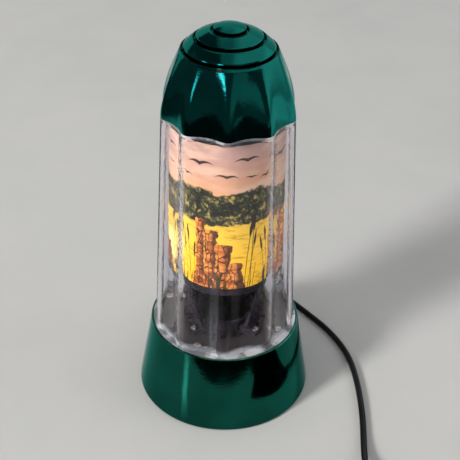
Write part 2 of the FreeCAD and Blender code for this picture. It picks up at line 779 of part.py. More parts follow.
def bulb_outline(inset):
    """Half outline of the bulb's glass, moved inwards by the inset."""
    neck = size("bulb_neck_radius") - inset
    wide = size("bulb_radius") - inset
    low = size(bulb_collar)
    middle = size(bulb_centre)
    rise = middle - low
    flank = Part.BSplineCurve()
    flank.interpolate(Points=[Vector(neck, 0, low), Vector(neck + 0.3, 0, low + rise * 0.15),
                              Vector((neck + wide) / 2, 0, low + rise * 0.48), Vector(wide, 0, middle)],
                      InitialTangent=Vector(0, 0, 1), FinalTangent=Vector(0, 0, 1))
    quarter = wide / math.sqrt(2)
    crown = Part.Arc(Vector(wide, 0, middle), Vector(quarter, 0, middle + quarter),
                     Vector(0, 0, middle + wide))
    close = Part.makePolygon([Vector(0, 0, middle + wide), Vector(0, 0, low), Vector(neck, 0, low)])
    return Part.Face(Part.Wire([flank.toShape(), crown.toShape()] + close.Edges))


def make_bulb():
    """Glass, screw cap, insulator, tip, and the stem with its wires."""
    outer = bulb_outline(0).revolve(Vector(0, 0, 0), Vector(0, 0, 1), 360)
    inner = bulb_outline(size("bulb_wall")).revolve(Vector(0, 0, 0), Vector(0, 0, 1), 360)
    shaped("bulb_glass", outer.cut(inner))
    low = size(bulb_foot) + 3.2
    pitch = size("thread_pitch")
    crest = size("thread_radius")
    root = crest - 0.8
    bore = root - 0.6
    edges = []
    level = low
    for _ in range(int(size("thread_turns"))):
        edges.append(Part.Arc(Vector(root, 0, level), Vector(crest, 0, level + pitch / 2),
                              Vector(root, 0, level + pitch)).toShape())
        level += pitch
    top = size(bulb_collar)
    rim = top + size("bulb_collar_height")
    cup = size("bulb_neck_radius + fit_gap")
    collar = [(root, level), (crest, level + 1), (crest, rim), (cup, rim), (cup, top), (bore, top),
              (bore, low), (root, low)]
    edges += Part.makePolygon([Vector(radius, 0, height) for radius, height in collar]).Edges
    shaped("bulb_cap", Part.Face(Part.Wire(Part.__sortEdges__(edges))).revolve(
        Vector(0, 0, 0), Vector(0, 0, 1), 360))
    foot = size(bulb_foot)
    shaped("bulb_insulator", spun([(0, foot + 1), (4.5, foot + 1), (bore + 0.4, low), (0, low)]))
    shaped("bulb_tip", spun([(0, foot), (3.2, foot), (4.2, foot + 1), (0, foot + 1)]))
    waist = top + 12
    filament = size(bulb_centre)
    flare = cup - size("bulb_wall + fit_gap") - 0.1
    shaped("bulb_stem", spun([(0, top), (flare, top), (4, top + 6), (3, waist), (0, waist)]))
    lead_in = [rod(0.35, waist, filament, side * 2) for side in (-1, 1)]
    coil = Part.makeCylinder(0.8, 5.4, Vector(-2.7, 0, filament), Vector(1, 0, 0))
    shaped("bulb_filament", lead_in[0].fuse([lead_in[1], coil]))


# --------------------------------------------------------------------------------------
# Fixed film, its stand, the bail and the turning drum
# --------------------------------------------------------------------------------------
def make_stand():
    """Collar round the socket, arms on the deck, and legs up to the ring under the film."""
    low = size(deck_top)
    top = size(arm_top)
    width = size("arm_width")
    inner = size(collar_bore)
    collar = rod(size(collar_radius), low, low + size("collar_height"))
    arm = Part.makeBox(size(arm_reach), width, top - low, Vector(0, -width / 2, low))
    outer_ring = size(sleeve_radius)
    ring_bore = size(sleeve_bore)
    lip_low = size(f"{film_low} - lip_thick")
    sleeve_low = lip_low - 4
    root = size("leg_root")
    thick = size("leg_thick")
    leg = outline_face([(root, top - 0.5), (root + thick, top - 0.5),
                        (outer_ring - 0.3, sleeve_low + 1), (outer_ring - 0.3 - thick, sleeve_low + 1)])
    leg = leg.extrude(Vector(0, width, 0))
    leg.translate(Vector(0, -width / 2, 0))
    sleeve = rod(outer_ring, sleeve_low, size(f"{film_low} + sleeve_height - 2"))
    lip = rod(size(lip_radius), lip_low, size(film_low))
    bore = rod(ring_bore, sleeve_low - 5, size(f"{film_low} + sleeve_height"))
    head = sleeve.fuse(lip).cut(bore)
    stand = collar.fuse(around(arm, LEG_ANGLES + BAIL_ANGLES) + around(leg, LEG_ANGLES) + [head])
    stand_hole = rod(size("stand_screw_radius + screw_play"), low, top, size("stand_screw_circle"))
    wire_hole = rod(size("wire_radius + fit_gap"), low, top, size(bail_radius))
    holes = ([rod(inner, low - 1, low + size("collar_height") + 1)]
             + around(stand_hole, LEG_ANGLES) + around(wire_hole, BAIL_ANGLES))
    shaped("film_stand", stand.cut(Part.makeCompound(holes)).removeSplitter())
    places = [on_circle(size("stand_screw_circle"), angle, top) for angle in LEG_ANGLES]
    screws("stand_screws", places, size("stand_screw_radius"), size("arm_thick + deck_thick"))


def make_fixed_film():
    """Printed film on the stand's lip and the ring that holds its top round."""
    ring("static_film", f"{film_radius} - film_thick", film_radius, film_low, film_top)
    turned("film_ring", [
        (sleeve_bore, f"{film_top} - sleeve_height"), (sleeve_radius, f"{film_top} - sleeve_height"),
        (sleeve_radius, film_top), (f"{film_radius} + 0.1", film_top),
        (f"{film_radius} + 0.1", f"{film_top} + lip_thick"), (sleeve_bore, f"{film_top} + lip_thick"),
    ])


def make_bail():
    """Wire bail over the bulb, and the needle that stands on its top."""
    reach = size(bail_radius)
    wire = size("wire_radius")
    centre = size(bail_top) - reach
    legs = [rod(wire, size(deck_top), centre, side * reach) for side in (-1, 1)]
    section = Part.Face(Part.Wire([Part.makeCircle(wire, Vector(reach, 0, centre), Vector(0, 0, 1))]))
    arch = section.revolve(Vector(0, 0, centre), Vector(0, -1, 0), 180)
    shaped("wire_bail", legs[0].fuse([legs[1], arch]).removeSplitter())
    tip = size(needle_tip)
    shank = size("needle_radius")
    foot = size(bail_top)
    needle = spun([(0, foot - 0.3), (2 * shank + 0.2, foot - 0.3), (2 * shank + 0.2, foot + 2 * wire),
                   (shank, foot + 2 * wire + 1), (shank, tip - 3), (0, tip)])
    clear = wire + 0.02
    saddle = Part.makeTorus(reach, clear, Vector(0, 0, centre), Vector(0, 1, 0))
    needle = needle.cut(saddle)
    shaped("pivot_needle", max(needle.Solids, key=lambda solid: solid.Volume))


def make_drum():
    """Printed drum: film, lower hoop, vaned wheel and the cup that turns on the needle."""
    ring("drum_film", hoop_radius, drum_radius, drum_low, drum_top)
    ring("drum_hoop", hoop_bore, f"{hoop_radius} - fit_gap", drum_low, f"{drum_low} + hoop_height")
    low = size(wheel_low)
    top = size(drum_top)
    rim_radius = size(f"{hoop_radius} - fit_gap")
    rim_bore = size(hoop_bore)
    tip = size(needle_tip)
    hub_radius = size("hub_radius")
    cup_radius = size("cup_radius")
    cup_top = tip + size("cup_height") / 2
    rim = rod(rim_radius, low, top).cut(rod(rim_bore, low, top))
    hub = rod(hub_radius, tip, top)
    chord = size("vane_chord")
    thick = size("vane_thick")
    span = rim_bore - hub_radius + 1
    vane = Part.makeBox(span, chord, thick, Vector(hub_radius - 0.5, -chord / 2, -thick / 2))
    vane.rotate(Vector(0, 0, 0), Vector(1, 0, 0), size("vane_tilt"))
    vane.translate(Vector(0, 0, (low + top) / 2))
    vane = vane.common(rod(rim_bore + 0.3, low, top))
    count = int(size("vane_count"))
    wheel = hub.fuse([rim] + around(vane, [360 * index / count for index in range(count)]))
    socket = rod(cup_radius + size("fit_gap"), tip, cup_top + size("fit_gap"))
    shaped("vane_wheel", wheel.cut(socket).removeSplitter())
    cup_low = tip - size("cup_height") / 2
    mouth = cup_radius - 0.7
    shaped("pivot_cup", spun([(0, tip + size("seat_gap")), (mouth, cup_low), (cup_radius, cup_low),
                              (cup_radius, cup_top), (0, cup_top)]))


# --------------------------------------------------------------------------------------
# Shade and cap
# --------------------------------------------------------------------------------------
def make_shade():
    """Clear fluted shade: a round flange below, and a neck that the cap laps over."""
    low = size(shelf)
    edge = size(cap_edge)
    wall = size("shade_wall")
    neck_top = edge + size("neck_height")
    flange = rod(size(flange_radius), low, size(flange_top))
    outer = shade_body(low + 0.5, edge, 0)
    gap = size("cap_wall + lift_gap")
    neck = Part.makeLoft([dome_wire(edge - 1, gap), dome_wire(neck_top, gap)], True, True)
    neck_bore = Part.makeLoft([dome_wire(edge - 6, gap + size("neck_wall")),
                               dome_wire(neck_top + 1, gap + size("neck_wall"))], True, True)
    bore = shade_body(low - 1, edge - 4, wall)
    solid = outer.fuse([flange, neck]).cut(bore).cut(neck_bore)
    shaped("shade_shell", solid.removeSplitter())


def axis_centre(first, last):
    """The point of the axis that is as far from one point of an outline as from the other."""
    return Vector(0, 0, (last.dot(last) - first.dot(first)) / (last.z - first.z) / 2)


def axis_arc(first, last):
    """An arc between two points of an outline, round a centre on the axis."""
    centre = axis_centre(first, last)
    middle = (first + last - centre * 2).normalize() * (first - centre).Length
    return Part.Arc(first, centre + middle, last).toShape()


def crown_outline():
    """Half outline of the stepped crown with its three sunk rings, down to inside the dome."""
    edge = size(dome_top)
    width = size("ring_width")
    depth = size("ring_depth")
    step = size("step_height")
    rings = [(size(outer_ring_radius), edge), (size(middle_ring_radius), size(middle_ring_top)),
             (size(inner_ring_radius), size(inner_ring_top))]
    rings.append((0, size(f"{inner_ring_top} + step_height + top_tier_rise")))
    edges = []
    start = None
    for (radius, height), (next_radius, next_height) in zip(rings, rings[1:]):
        floor = height - depth
        foot = Vector(radius - width, 0, floor)
        crest = Vector(radius - width, 0, height + step)
        if start is not None:
            edges.append(Part.LineSegment(start, Vector(radius, 0, floor)).toShape())
            edges.append(Part.LineSegment(Vector(radius, 0, floor), foot).toShape())
        edges.append(Part.LineSegment(foot, crest).toShape())
        end = Vector(next_radius, 0, next_height)
        edges.append(axis_arc(crest, end))
        start = end
    low = edge - 10
    first = rings[0][0] - width
    edges += Part.makePolygon([start, Vector(0, 0, low), Vector(first, 0, low),
                               Vector(first, 0, edge - depth)]).Edges
    return Part.Face(Part.Wire(Part.__sortEdges__(edges)))


def make_cap():
    """Fluted dome with a stepped crown, three sunk rings and air slots in two of them."""
    edge = size(cap_edge)
    top = size(dome_top)
    wall = size("cap_wall")
    width = size("ring_width")
    depth = size("ring_depth")
    radius = size(outer_ring_radius)
    dome = dome_body(edge, top, 0)
    groove = rod(radius - 0.45, top - depth, top + 1).cut(rod(radius - width, top - depth, top + 1))
    crown = crown_outline().revolve(Vector(0, 0, 0), Vector(0, 0, 1), 360)
    outer = dome.fuse(crown).cut(groove)
    under_ring = depth + size("crown_floor")
    outer_foot = Vector(radius - width, 0, top - under_ring)
    inner_foot = Vector(size(inner_ring_radius) - width, 0, size(inner_ring_top) - under_ring)
    centre = axis_centre(outer_foot, inner_foot)
    ball_radius = (outer_foot - centre).Length
    ledge = outer_foot.z - 1
    ball = Part.makeSphere(ball_radius, centre)
    ball = ball.common(rod(ball_radius, ledge - 2, centre.z + ball_radius + 1))
    hollow = dome_body(edge - 1, ledge, wall)
    slots = []
    for ring_radius, ring_top in ((radius, top), (size(middle_ring_radius), size(middle_ring_top))):
        slots += vent_arcs(ring_radius - width + 0.3, ring_radius - 0.75, ring_top - depth - 4,
                           ring_top - depth + 0.2)
    solid = outer.cut(hollow).cut(ball).cut(Part.makeCompound(slots))
    shaped("cap_dome", solid.removeSplitter())


def vent_arcs(inner, outer, low, high):
    """Curved slots between two radii, evenly round the crown."""
    count = int(size("cap_vent_count"))
    open_angle = 360 / count * 0.55
    face = Part.Face(Part.makePolygon([Vector(inner, 0, low), Vector(outer, 0, low),
                                       Vector(outer, 0, high), Vector(inner, 0, high),
                                       Vector(inner, 0, low)]))
    slot = face.revolve(Vector(0, 0, 0), Vector(0, 0, 1), open_angle)
    return around(slot, [360 * index / count for index in range(count)])


# --------------------------------------------------------------------------------------
# Cord and what is on it
# --------------------------------------------------------------------------------------
def make_strain_relief():
    """Rubber strain relief: a collar each side of the wall and a tapered tail."""
    inner = size("-base_wall - relief_play")
    thick = size("collar_thick")
    neck = size("relief_neck")
    collar = size("relief_collar")
    length = size("relief_length")
    relief = spun([(0, inner - thick), (collar, inner - thick), (collar, inner), (neck, inner),
                   (neck, 0), (collar, 0), (collar, thick * 0.7), (neck, thick), (neck, thick + 1.5),
                   (size("relief_tip"), length), (0, length)])
    relief.Placement = relief_frame()
    shaped("strain_relief", relief)


def coil_section():
    """Inner radius, outer radius, underside and top of the coil's outer shape."""
    cord = size("cord_radius")
    half_width = size("coil_turns_wide") * cord
    low = size("tie_thick")
    return (size("coil_middle_radius") - half_width, size("coil_middle_radius") + half_width,
            low, low + 2 * cord * size("coil_turns_high"))


def make_coil():
    """Outer shape of the put-away coil, and the tie round it."""
    inner, outer, low, high = coil_section()
    corner = size("cord_radius") * 0.6
    coil = spun([(inner + corner, low), (outer - corner, low), (outer, low + corner),
                 (outer, high - corner), (outer - corner, high), (inner + corner, high),
                 (inner, high - corner), (inner, low + corner)])
    middle = Vector(COIL_CENTRE[0], COIL_CENTRE[1], 0)
    coil.translate(middle)
    shaped("cord_coil", coil)
    thick = size("tie_thick")
    width = size("tie_width")
    play = 2 * size("seat_gap")
    band = Part.makeBox(outer - inner + 2 * (thick + play), width, high - low + 2 * thick + play,
                        Vector(inner - thick - play, -width / 2, 0))
    room = Part.makeBox(outer - inner + 2 * play, width, high - low + play,
                        Vector(inner - play, -width / 2, thick))
    tie = band.cut(room)
    tie.translate(middle)
    shaped("cord_tie", tie)


def make_cord():
    """The cord's plain tubes between the pieces that it joins."""
    radius = size("cord_radius")
    start = along_relief(size("relief_length"))
    second = along_relief(size("relief_length") + RELIEF_RUN)
    shaped("cord_run", tube("cord_run", [start, second] + RUN_POINTS, radius))
    shaped("cord_tail", tube("cord_tail", TAIL_POINTS, radius))
    shaped("cord_end", tube("cord_end", END_POINTS, radius))


def switch_place():
    """Middle of the switch on the cord's parting plane."""
    x, y, _ = RUN_POINTS[-1]
    return Vector(x, y - size("switch_length") / 2, 0)


def rounded_block(length, width, height, corner, edge):
    """A flat block on z = 0, long in Y, with round upright corners and a soft upper edge."""
    brick = Part.makeBox(width, length, height, Vector(-width / 2, -length / 2, 0))
    upright = [item for item in brick.Edges
               if abs(item.Vertexes[0].Z - item.Vertexes[-1].Z) > height / 2]
    brick = brick.makeFillet(corner, upright)
    upper = [item for item in brick.Edges if item.BoundBox.ZMin > height - 0.01]
    return brick.makeFillet(edge, upper)


def make_switch():
    """In-line rocker switch: two halves, the rocker between them, and two screws."""
    length = size("switch_length")
    width = size("switch_width")
    height = size("switch_height")
    parting = height / 2
    place = switch_place()
    case = rounded_block(length, width, height, 6, 2.5)
    radius = size("rocker_radius")
    play = size("lift_gap")
    rocker_width = size("rocker_width")
    well_width = rocker_width + 2 * play
    well_radius = radius + play
    well = Part.makeCylinder(well_radius, well_width, Vector(-well_width / 2, 0, parting),
                             Vector(1, 0, 0))
    well_floor = parting - size("rocker_foot") - 3
    well = well.common(Part.makeBox(2 * width, length, height, Vector(-width, -length / 2, well_floor)))
    pin = size("rocker_pin_radius")
    pin_length = size("rocker_pin_length")
    pin_hole = Part.makeCylinder(pin + size("fit_gap"), well_width + 2 * pin_length,
                                 Vector(-well_width / 2 - pin_length, 0, parting), Vector(1, 0, 0))
    reach = size("switch_screw_reach")
    screw = size("switch_screw_radius")
    hole_top = height - 3
    sink = 2.2
    through = [rod(screw + size("fit_gap"), 0, hole_top, 0, side * reach) for side in (-1, 1)]
    sinks = [rod(2 * screw + play, 0, sink, 0, side * reach) for side in (-1, 1)]
    case = case.cut(Part.makeCompound([well.fuse(pin_hole)] + through + sinks))
    halves = Part.makeBox(2 * width, 2 * length, height, Vector(-width, -length, parting))
    for label, shape in (("switch_base", case.cut(halves)), ("switch_cover", case.common(halves))):
        shape.translate(place)
        shaped(label, shape)
    screws("switch_screws", [place + Vector(0, side * reach, sink) for side in (-1, 1)], screw,
           hole_top - sink - 1, upwards=True)
    make_rocker(place + Vector(0, 0, parting))


def make_rocker(pivot):
    """Rocker with two facing slopes on top, tilted to its on side, and its pivot pins."""
    radius = size("rocker_radius")
    width = size("rocker_width")
    crest = size("rocker_crest")
    slope = math.tan(math.radians(size("rocker_tilt")))
    foot = -size("rocker_foot")
    outline = [(-radius, foot), (radius, foot), (radius, crest + radius * slope), (0, crest),
               (-radius, crest + radius * slope)]
    points = [Vector(-width / 2, y, z) for y, z in outline]
    prism = Part.Face(Part.makePolygon(points + points[:1])).extrude(Vector(width, 0, 0))
    barrel = Part.makeCylinder(radius, width, Vector(-width / 2, 0, 0), Vector(1, 0, 0))
    length = width + 2 * size("rocker_pin_length")
    pin = Part.makeCylinder(size("rocker_pin_radius"), length, Vector(-length / 2, 0, 0),
                            Vector(1, 0, 0))
    rocker = prism.common(barrel).fuse(pin)
    rocker.rotate(Vector(0, 0, 0), Vector(1, 0, 0), size("rocker_tilt"))
    rocker.translate(pivot)
    shaped("switch_rocker", rocker)


def make_plug():
    """Two-blade plug lying beside the coil, its neck towards the cord."""
    x, y, z = END_POINTS[-1]
    length = size("plug_length")
    width = size("plug_width")
    height = size("plug_height")
    neck = size("plug_neck_length")
    body = Part.makeBox(length, width, height, Vector(-neck - length, -width / 2, -height / 2))
    body = body.makeFillet(3.0, [item for item in body.Edges if item.BoundBox.XLength > length / 2])
    shoulder = [item for item in body.Edges if item.BoundBox.XMin > -neck - 0.01]
    body = body.makeFillet(2.0, shoulder)
    tail = Part.makeCone(size("relief_tip"), size("relief_neck"), neck + 1, Vector(0, 0, 0),
                         Vector(-1, 0, 0))
    face_x = -neck - length
    blade_width = size("blade_width")
    thick = size("blade_thick")
    root = 5.0
    blades = []
    slots = []
    for side in (-1, 1):
        middle = side * size("blade_spacing") / 2
        blade = Part.makeBox(size("blade_length") + root, thick, blade_width,
                             Vector(face_x - size("blade_length"), middle - thick / 2, -blade_width / 2))
        slots.append(blade.common(Part.makeBox(root, width, height,
                                               Vector(face_x, -width / 2, -height / 2))))
        hole = Part.makeCylinder(1.6, thick * 2,
                                 Vector(face_x - size("blade_length") + 4, middle - thick, 0),
                                 Vector(0, 1, 0))
        blades.append(blade.cut(hole))
    plug = body.fuse(tail).cut(Part.makeCompound(slots))
    for label, shape in (("plug_body", plug), ("plug_blades", Part.makeCompound(blades))):
        shape.translate(Vector(x, y, z))
        shaped(label, shape)


# --------------------------------------------------------------------------------------
# Build, check and write
# --------------------------------------------------------------------------------------
make_base_shell()
make_bottom_cover()
make_feet_and_cover_screws()
make_base_deck()
make_cord_clamp()
make_socket()
make_wiring()
make_bulb()
make_stand()
make_fixed_film()
make_bail()
make_drum()
make_shade()
make_cap()
make_strain_relief()
make_coil()
make_cord()
make_switch()
make_plug()
doc.recompute()

for thing in doc.Objects:
    if "Invalid" in thing.State or "Error" in thing.State:
        raise RuntimeError(f"{thing.Name} failed: {thing.State}")
os.makedirs("parts", exist_ok=True)
for label, thing in PIECES.items():
    shape = thing.Shape
    if shape.isNull() or not shape.isValid() or not shape.Solids:
        raise RuntimeError(f"{label} has no valid solid")
    shape.exportStep(f"parts/{label}.step")
    print(f"{label}: {len(shape.Solids)} solids, {shape.Volume:.0f} mm3")
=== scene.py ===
# %% [markdown]
# # A motion lamp, finished in Blender
# The lamp comes in as exact CAD pieces: a metallised base and cap, a clear fluted shade, a lit
# printed film and the drum that turns inside it. They stay where they are. This lesson gives each
# piece its finish, lays the mains cord on the floor, and lights the whole thing.

# %% Load the frame
import math

import bmesh
import bpy
from mathutils import Matrix, Vector


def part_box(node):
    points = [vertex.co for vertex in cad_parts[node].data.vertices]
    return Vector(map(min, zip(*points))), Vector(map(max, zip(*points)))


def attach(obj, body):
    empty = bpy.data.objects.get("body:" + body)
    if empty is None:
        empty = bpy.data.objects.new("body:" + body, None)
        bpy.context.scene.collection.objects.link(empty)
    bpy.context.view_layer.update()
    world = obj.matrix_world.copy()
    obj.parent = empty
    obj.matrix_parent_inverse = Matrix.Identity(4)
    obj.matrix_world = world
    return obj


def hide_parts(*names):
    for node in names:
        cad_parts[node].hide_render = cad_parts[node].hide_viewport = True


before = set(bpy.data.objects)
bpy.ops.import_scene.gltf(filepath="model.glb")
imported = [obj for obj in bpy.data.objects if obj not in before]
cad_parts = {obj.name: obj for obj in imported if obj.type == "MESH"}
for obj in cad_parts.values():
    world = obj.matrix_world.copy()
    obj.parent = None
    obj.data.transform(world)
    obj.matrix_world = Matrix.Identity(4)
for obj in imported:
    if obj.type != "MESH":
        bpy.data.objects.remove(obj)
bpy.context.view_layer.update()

MM = 0.001

# %% [markdown]
# ## Camera
# A lamp on a low table is seen from above, so the camera looks down at about 34 degrees. It stands
# 0.8 m away with a long lens, which keeps the upright walls nearly parallel. It is turned a little
# about its own axis, as a camera held by hand is.

# %% Camera
LENS = 80.64
CAMERA_PLACE = Vector((2.7, -595.4, 540.8)) * MM
LOOK_DOWN = math.radians(34.42)
ROLL = math.radians(1.22)
camera_data = bpy.data.cameras.new("camera")
camera_data.lens = LENS
camera = bpy.data.objects.new("camera", camera_data)
bpy.context.scene.collection.objects.link(camera)
bpy.context.scene.camera = camera
camera.matrix_world = (Matrix.Translation(CAMERA_PLACE)
                       @ Matrix.Rotation(math.pi / 2 - LOOK_DOWN, 4, "X")
                       @ Matrix.Rotation(ROLL, 4, "Z"))
print("camera", round(camera.location.length, 3), "m from the lamp's foot")

# %% [markdown]
# ## Mains cord
# The cord is 4.6 mm thick and about 1.8 m long. It leaves the strain relief at the back, comes
# round the right side on the floor, passes through the hand switch, and the rest is wound into a
# neat two-layer coil that ends in the plug. It could be swept as a mesh, but a NURBS curve is easier
# to lay: its control points are listed along the route in millimetres, and the curve rounds
# every turn between them.

# %% Route of the cord
CORD_WIDTH = 4.6
to_switch = [(-8.558, 60.892, 13), (-11.30, 80.43, 16.30), (-13.36, 95.08, 18.77),
             (-7.5, 109.5, 17.6), (4.7, 118.6, 12.6), (19.8, 120.4, 6.8), (33.6, 114.3, 3.2),
             (47.5, 96, 2.3), (65.5, 74.2, 2.3), (85, 49.2, 2.3), (98, 20.8, 2.3),
             (102.3, -9.5, 2.3), (103.1, -42, 2.3), (101.9, -65, 2.3), (100.4, -84, 3.6),
             (99.4, -102, 8), (99.4, -118, 8)]
to_coil = [(99.4, -176, 8), (99.4, -189.5, 8), (95.2, -202.3, 5.6), (86.2, -212.4, 3.4),
           (74.1, -217.7, 2.9), (63.2, -218.5, 2.9)]
to_plug = [(28.6, -218.4, 7.3), (14.3, -217, 7), (0, -217, 7), (-8, -217, 7)]
print(len(to_switch), "control points to the switch,", len(to_coil), "to the coil,",
      len(to_plug), "to the plug")

# %% [markdown]
# The coil lies on the floor beside the switch. Each turn keeps its radius and only moves over by
# one cord diameter in its last quarter, which is how wound cord really lies. The lower layer runs
# inwards and climbs in the last quarter of its last turn, and the upper layer runs back out.

# %% Turns of the coil
COIL_CENTRE = Vector((46, -186, 0))
TURNS, POINTS_PER_TURN = 4, 16
OUTER_TURN = 32.2
INNER_TURN = OUTER_TURN - CORD_WIDTH * (TURNS - 1)
LOWER_LAYER = 2.9
UPPER_LAYER = LOWER_LAYER + CORD_WIDTH


def shift(turn):
    """How far the coil has moved over after this many turns."""
    whole = int(turn)
    if whole >= TURNS - 1:
        return CORD_WIDTH * (TURNS - 1)
    late = max(0.0, (turn - whole) * 4 - 3)  # from 0 to 1 in the last quarter turn
    return CORD_WIDTH * (whole + late * late * (3 - 2 * late))


def coil_point(turn, radius, height):
    """A point on the coil, which starts nearest the viewer and turns clockwise from above."""
    angle = math.radians(-90 - 360 * turn)
    return COIL_CENTRE + Vector((radius * math.cos(angle), radius * math.sin(angle), height))


coil = []
for step in range(TURNS * POINTS_PER_TURN):
    turn = step / POINTS_PER_TURN
    climb = max(0.0, (turn - TURNS) * 4 + 1)
    coil.append(coil_point(turn, OUTER_TURN - shift(turn), LOWER_LAYER + CORD_WIDTH * climb))
for step in range(TURNS * POINTS_PER_TURN + 1):
    turn = step / POINTS_PER_TURN
    coil.append(coil_point(turn, INNER_TURN + shift(turn), UPPER_LAYER))
print(len(coil), "control points in the coil")

# %% [markdown]
# The curve gets its roundness from its bevel and its thickness from the radius of each control
# point. It hangs on the base's body and stands in for the four plain cord solids of the CAD model,
# which are hidden.

# %% Cord as a NURBS curve
cord_curve = bpy.data.curves.new("mains_cord", "CURVE")
cord_curve.dimensions = "3D"
cord_curve.bevel_depth = 1.0
cord_curve.bevel_resolution = 5
cord_curve.resolution_u = 8
cord_curve.use_fill_caps = True
route = [Vector(point) * MM for point in to_switch + to_coil + coil + to_plug]
spline = cord_curve.splines.new("NURBS")
spline.points.add(len(route) - 1)
for knot, point in zip(spline.points, route):
    knot.co = (*point, 1)
    knot.radius = CORD_WIDTH / 2 * MM
spline.order_u = 3
spline.use_endpoint_u = True
mains_cord = bpy.data.objects.new("mains_cord", cord_curve)
bpy.context.scene.collection.objects.link(mains_cord)
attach(mains_cord, "base")
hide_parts("cord_run", "cord_tail", "cord_coil", "cord_end")
print("cord of", len(route), "control points")

# %% [markdown]
# ## Shader maths in plain Python
# A procedural finish is a small sum: some noise, a threshold, a blend. Written as Python
# expressions it reads like that sum. `Signal` wraps one socket, and each operator on it adds the
# Math node that does the same, while `node` adds any other kind of node. Between masks, which run
# from 0 to 1, `&` keeps the lesser and `|` the greater, so they read as "and" and "or".

# %% A socket that can be calculated with
class Signal:
    """One output socket of a material, which Python's operators can calculate with."""

    def __init__(self, tree, socket=None):
        self.tree = tree
        self.socket = socket

    def node(self, kind, sockets=None, out=0, stops=None, **settings):
        """Adds a node of this kind: its settings first, then the values or links of its sockets."""
        made = self.tree.nodes.new("ShaderNode" + kind)
        for setting, value in settings.items():
            setattr(made, setting, value)
        if stops:
            ramp = made.color_ramp
            while len(ramp.elements) < len(stops):
                ramp.elements.new(0.5)
            for element, (position, colour) in zip(ramp.elements, stops):
                element.position = position
                element.color = (*colour, 1)
        for key, value in (sockets or {}).items():
            if isinstance(value, Signal):
                self.tree.links.new(value.socket, made.inputs[key])
            else:
                made.inputs[key].default_value = value
        return Signal(self.tree, made.outputs[out] if made.outputs else None)

    def maths(self, operation, *values):
        """A Math node on this socket and the values."""
        return self.node("Math", dict(enumerate([self, *values])), operation=operation)

    def __add__(self, other):
        return self.maths("ADD", other)

    def __sub__(self, other):
        return self.maths("SUBTRACT", other)

    def __rsub__(self, other):
        return self.node("Math", {0: other, 1: self}, operation="SUBTRACT")

    def __mul__(self, other):
        return self.maths("MULTIPLY", other)

    def __truediv__(self, other):
        return self.maths("DIVIDE", other)

    def __pow__(self, other):
        return self.maths("POWER", other)

    def __mod__(self, other):
        return self.maths("FLOORED_MODULO", other)

    def __abs__(self):
        return self.maths("ABSOLUTE")

    def __and__(self, other):
        return self.maths("MINIMUM", other)

    def __or__(self, other):
        return self.maths("MAXIMUM", other)

    __radd__, __rmul__ = __add__, __mul__

    def rise(self, low, high, bottom=0.0, top=1.0):
        """Goes smoothly from bottom to top as this goes from low to high."""
        return self.node("MapRange", {0: self, 1: low, 2: high, 3: bottom, 4: top},
                         interpolation_type="SMOOTHSTEP")

    def between(self, low, high, soft):
        """1 where this lies from low to high, with soft edges."""
        return self.rise(low - soft, low + soft) & self.rise(high - soft, high + soft, 1.0, 0.0)

    def blend(self, low, high):
        """The colour low where this is 0 and high where it is 1."""
        low, high = [(*c, 1) if isinstance(c, tuple) else c for c in (low, high)]
        return self.node("Mix", {0: self, 6: low, 7: high}, out=2, data_type="RGBA")

    def scaled(self, amount):
        """This colour made darker or lighter by the amount."""
        return self.node("VectorMath", {0: self, "Scale": amount}, operation="SCALE")

    def noise(self, scale, detail=2.0, roughness=0.5, distortion=0.0):
        """Noise at this position, about 0.5 on average."""
        return self.node("TexNoise", {"Vector": self, "Scale": scale, "Detail": detail,
                                      "Roughness": roughness, "Distortion": distortion})

    def stretched(self, x, y, z):
        """This position with its axes scaled, which lengthens or narrows a pattern."""
        return self.node("VectorMath", {0: self, 1: (x, y, z)}, operation="MULTIPLY")

    def part(self, axis):
        """One coordinate of this position: 0, 1 or 2."""
        return self.node("SeparateXYZ", {0: self}, out=axis)


# %% [markdown]
# A few sums come up again and again: the coordinates in millimetres, the distance from a middle,
# which is how a ring or a round mark is drawn, and "any of these masks".

# %% Sums that come up often
def in_mm(place):
    """The three coordinates of a position, in millimetres."""
    return [place.part(axis) / MM for axis in range(3)]


def from_middle(x, y):
    """The distance from the place where both coordinates are nought."""
    return (x * x + y * y) ** 0.5


def any_of(signals):
    """The greatest of the signals: 1 wherever one of them is 1."""
    greatest = signals[0]
    for signal in signals[1:]:
        greatest = greatest | signal
    return greatest


# %% [markdown]
# ## Materials on the pieces
# Every finish starts from the position on the piece, its Object coordinates, so that the pattern
# stays on the piece when it moves. The frame's exact pieces keep their meshes and only get a
# material.

# %% Helpers for a material
def new_material(name):
    """An empty material, and the position on the piece in metres to start its patterns from."""
    material = bpy.data.materials.new(name)
    material.use_nodes = True
    material.node_tree.nodes.clear()
    start = Signal(material.node_tree)
    return material, start.node("TexCoord", out=3)


def surface(place, shader):
    """Connects the finished shader to the material's output."""
    place.node("OutputMaterial", {"Surface": shader})


def bumped(height, depth):
    """A normal whose surface rises by depth, in metres, where the height signal is 1."""
    return height.node("Bump", {"Height": height, "Distance": depth, "Strength": 1.0})


def finish_of(place, **sockets):
    """The all-round shader, given by socket name with spaces written as underscores."""
    named = {key.replace("_", " "): value for key, value in sockets.items()}
    for key in ("Base Color", "Emission Color", "Specular Tint"):
        if isinstance(named.get(key), tuple):
            named[key] = (*named[key], 1)
    return place.node("BsdfPrincipled", named)


def wear(material, *names):
    """Puts the material on these CAD nodes."""
    for name in names:
        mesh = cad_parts[name].data
        mesh.materials.clear()
        mesh.materials.append(material)
    print(material.name, "of", len(material.node_tree.nodes), "nodes on", ", ".join(names))


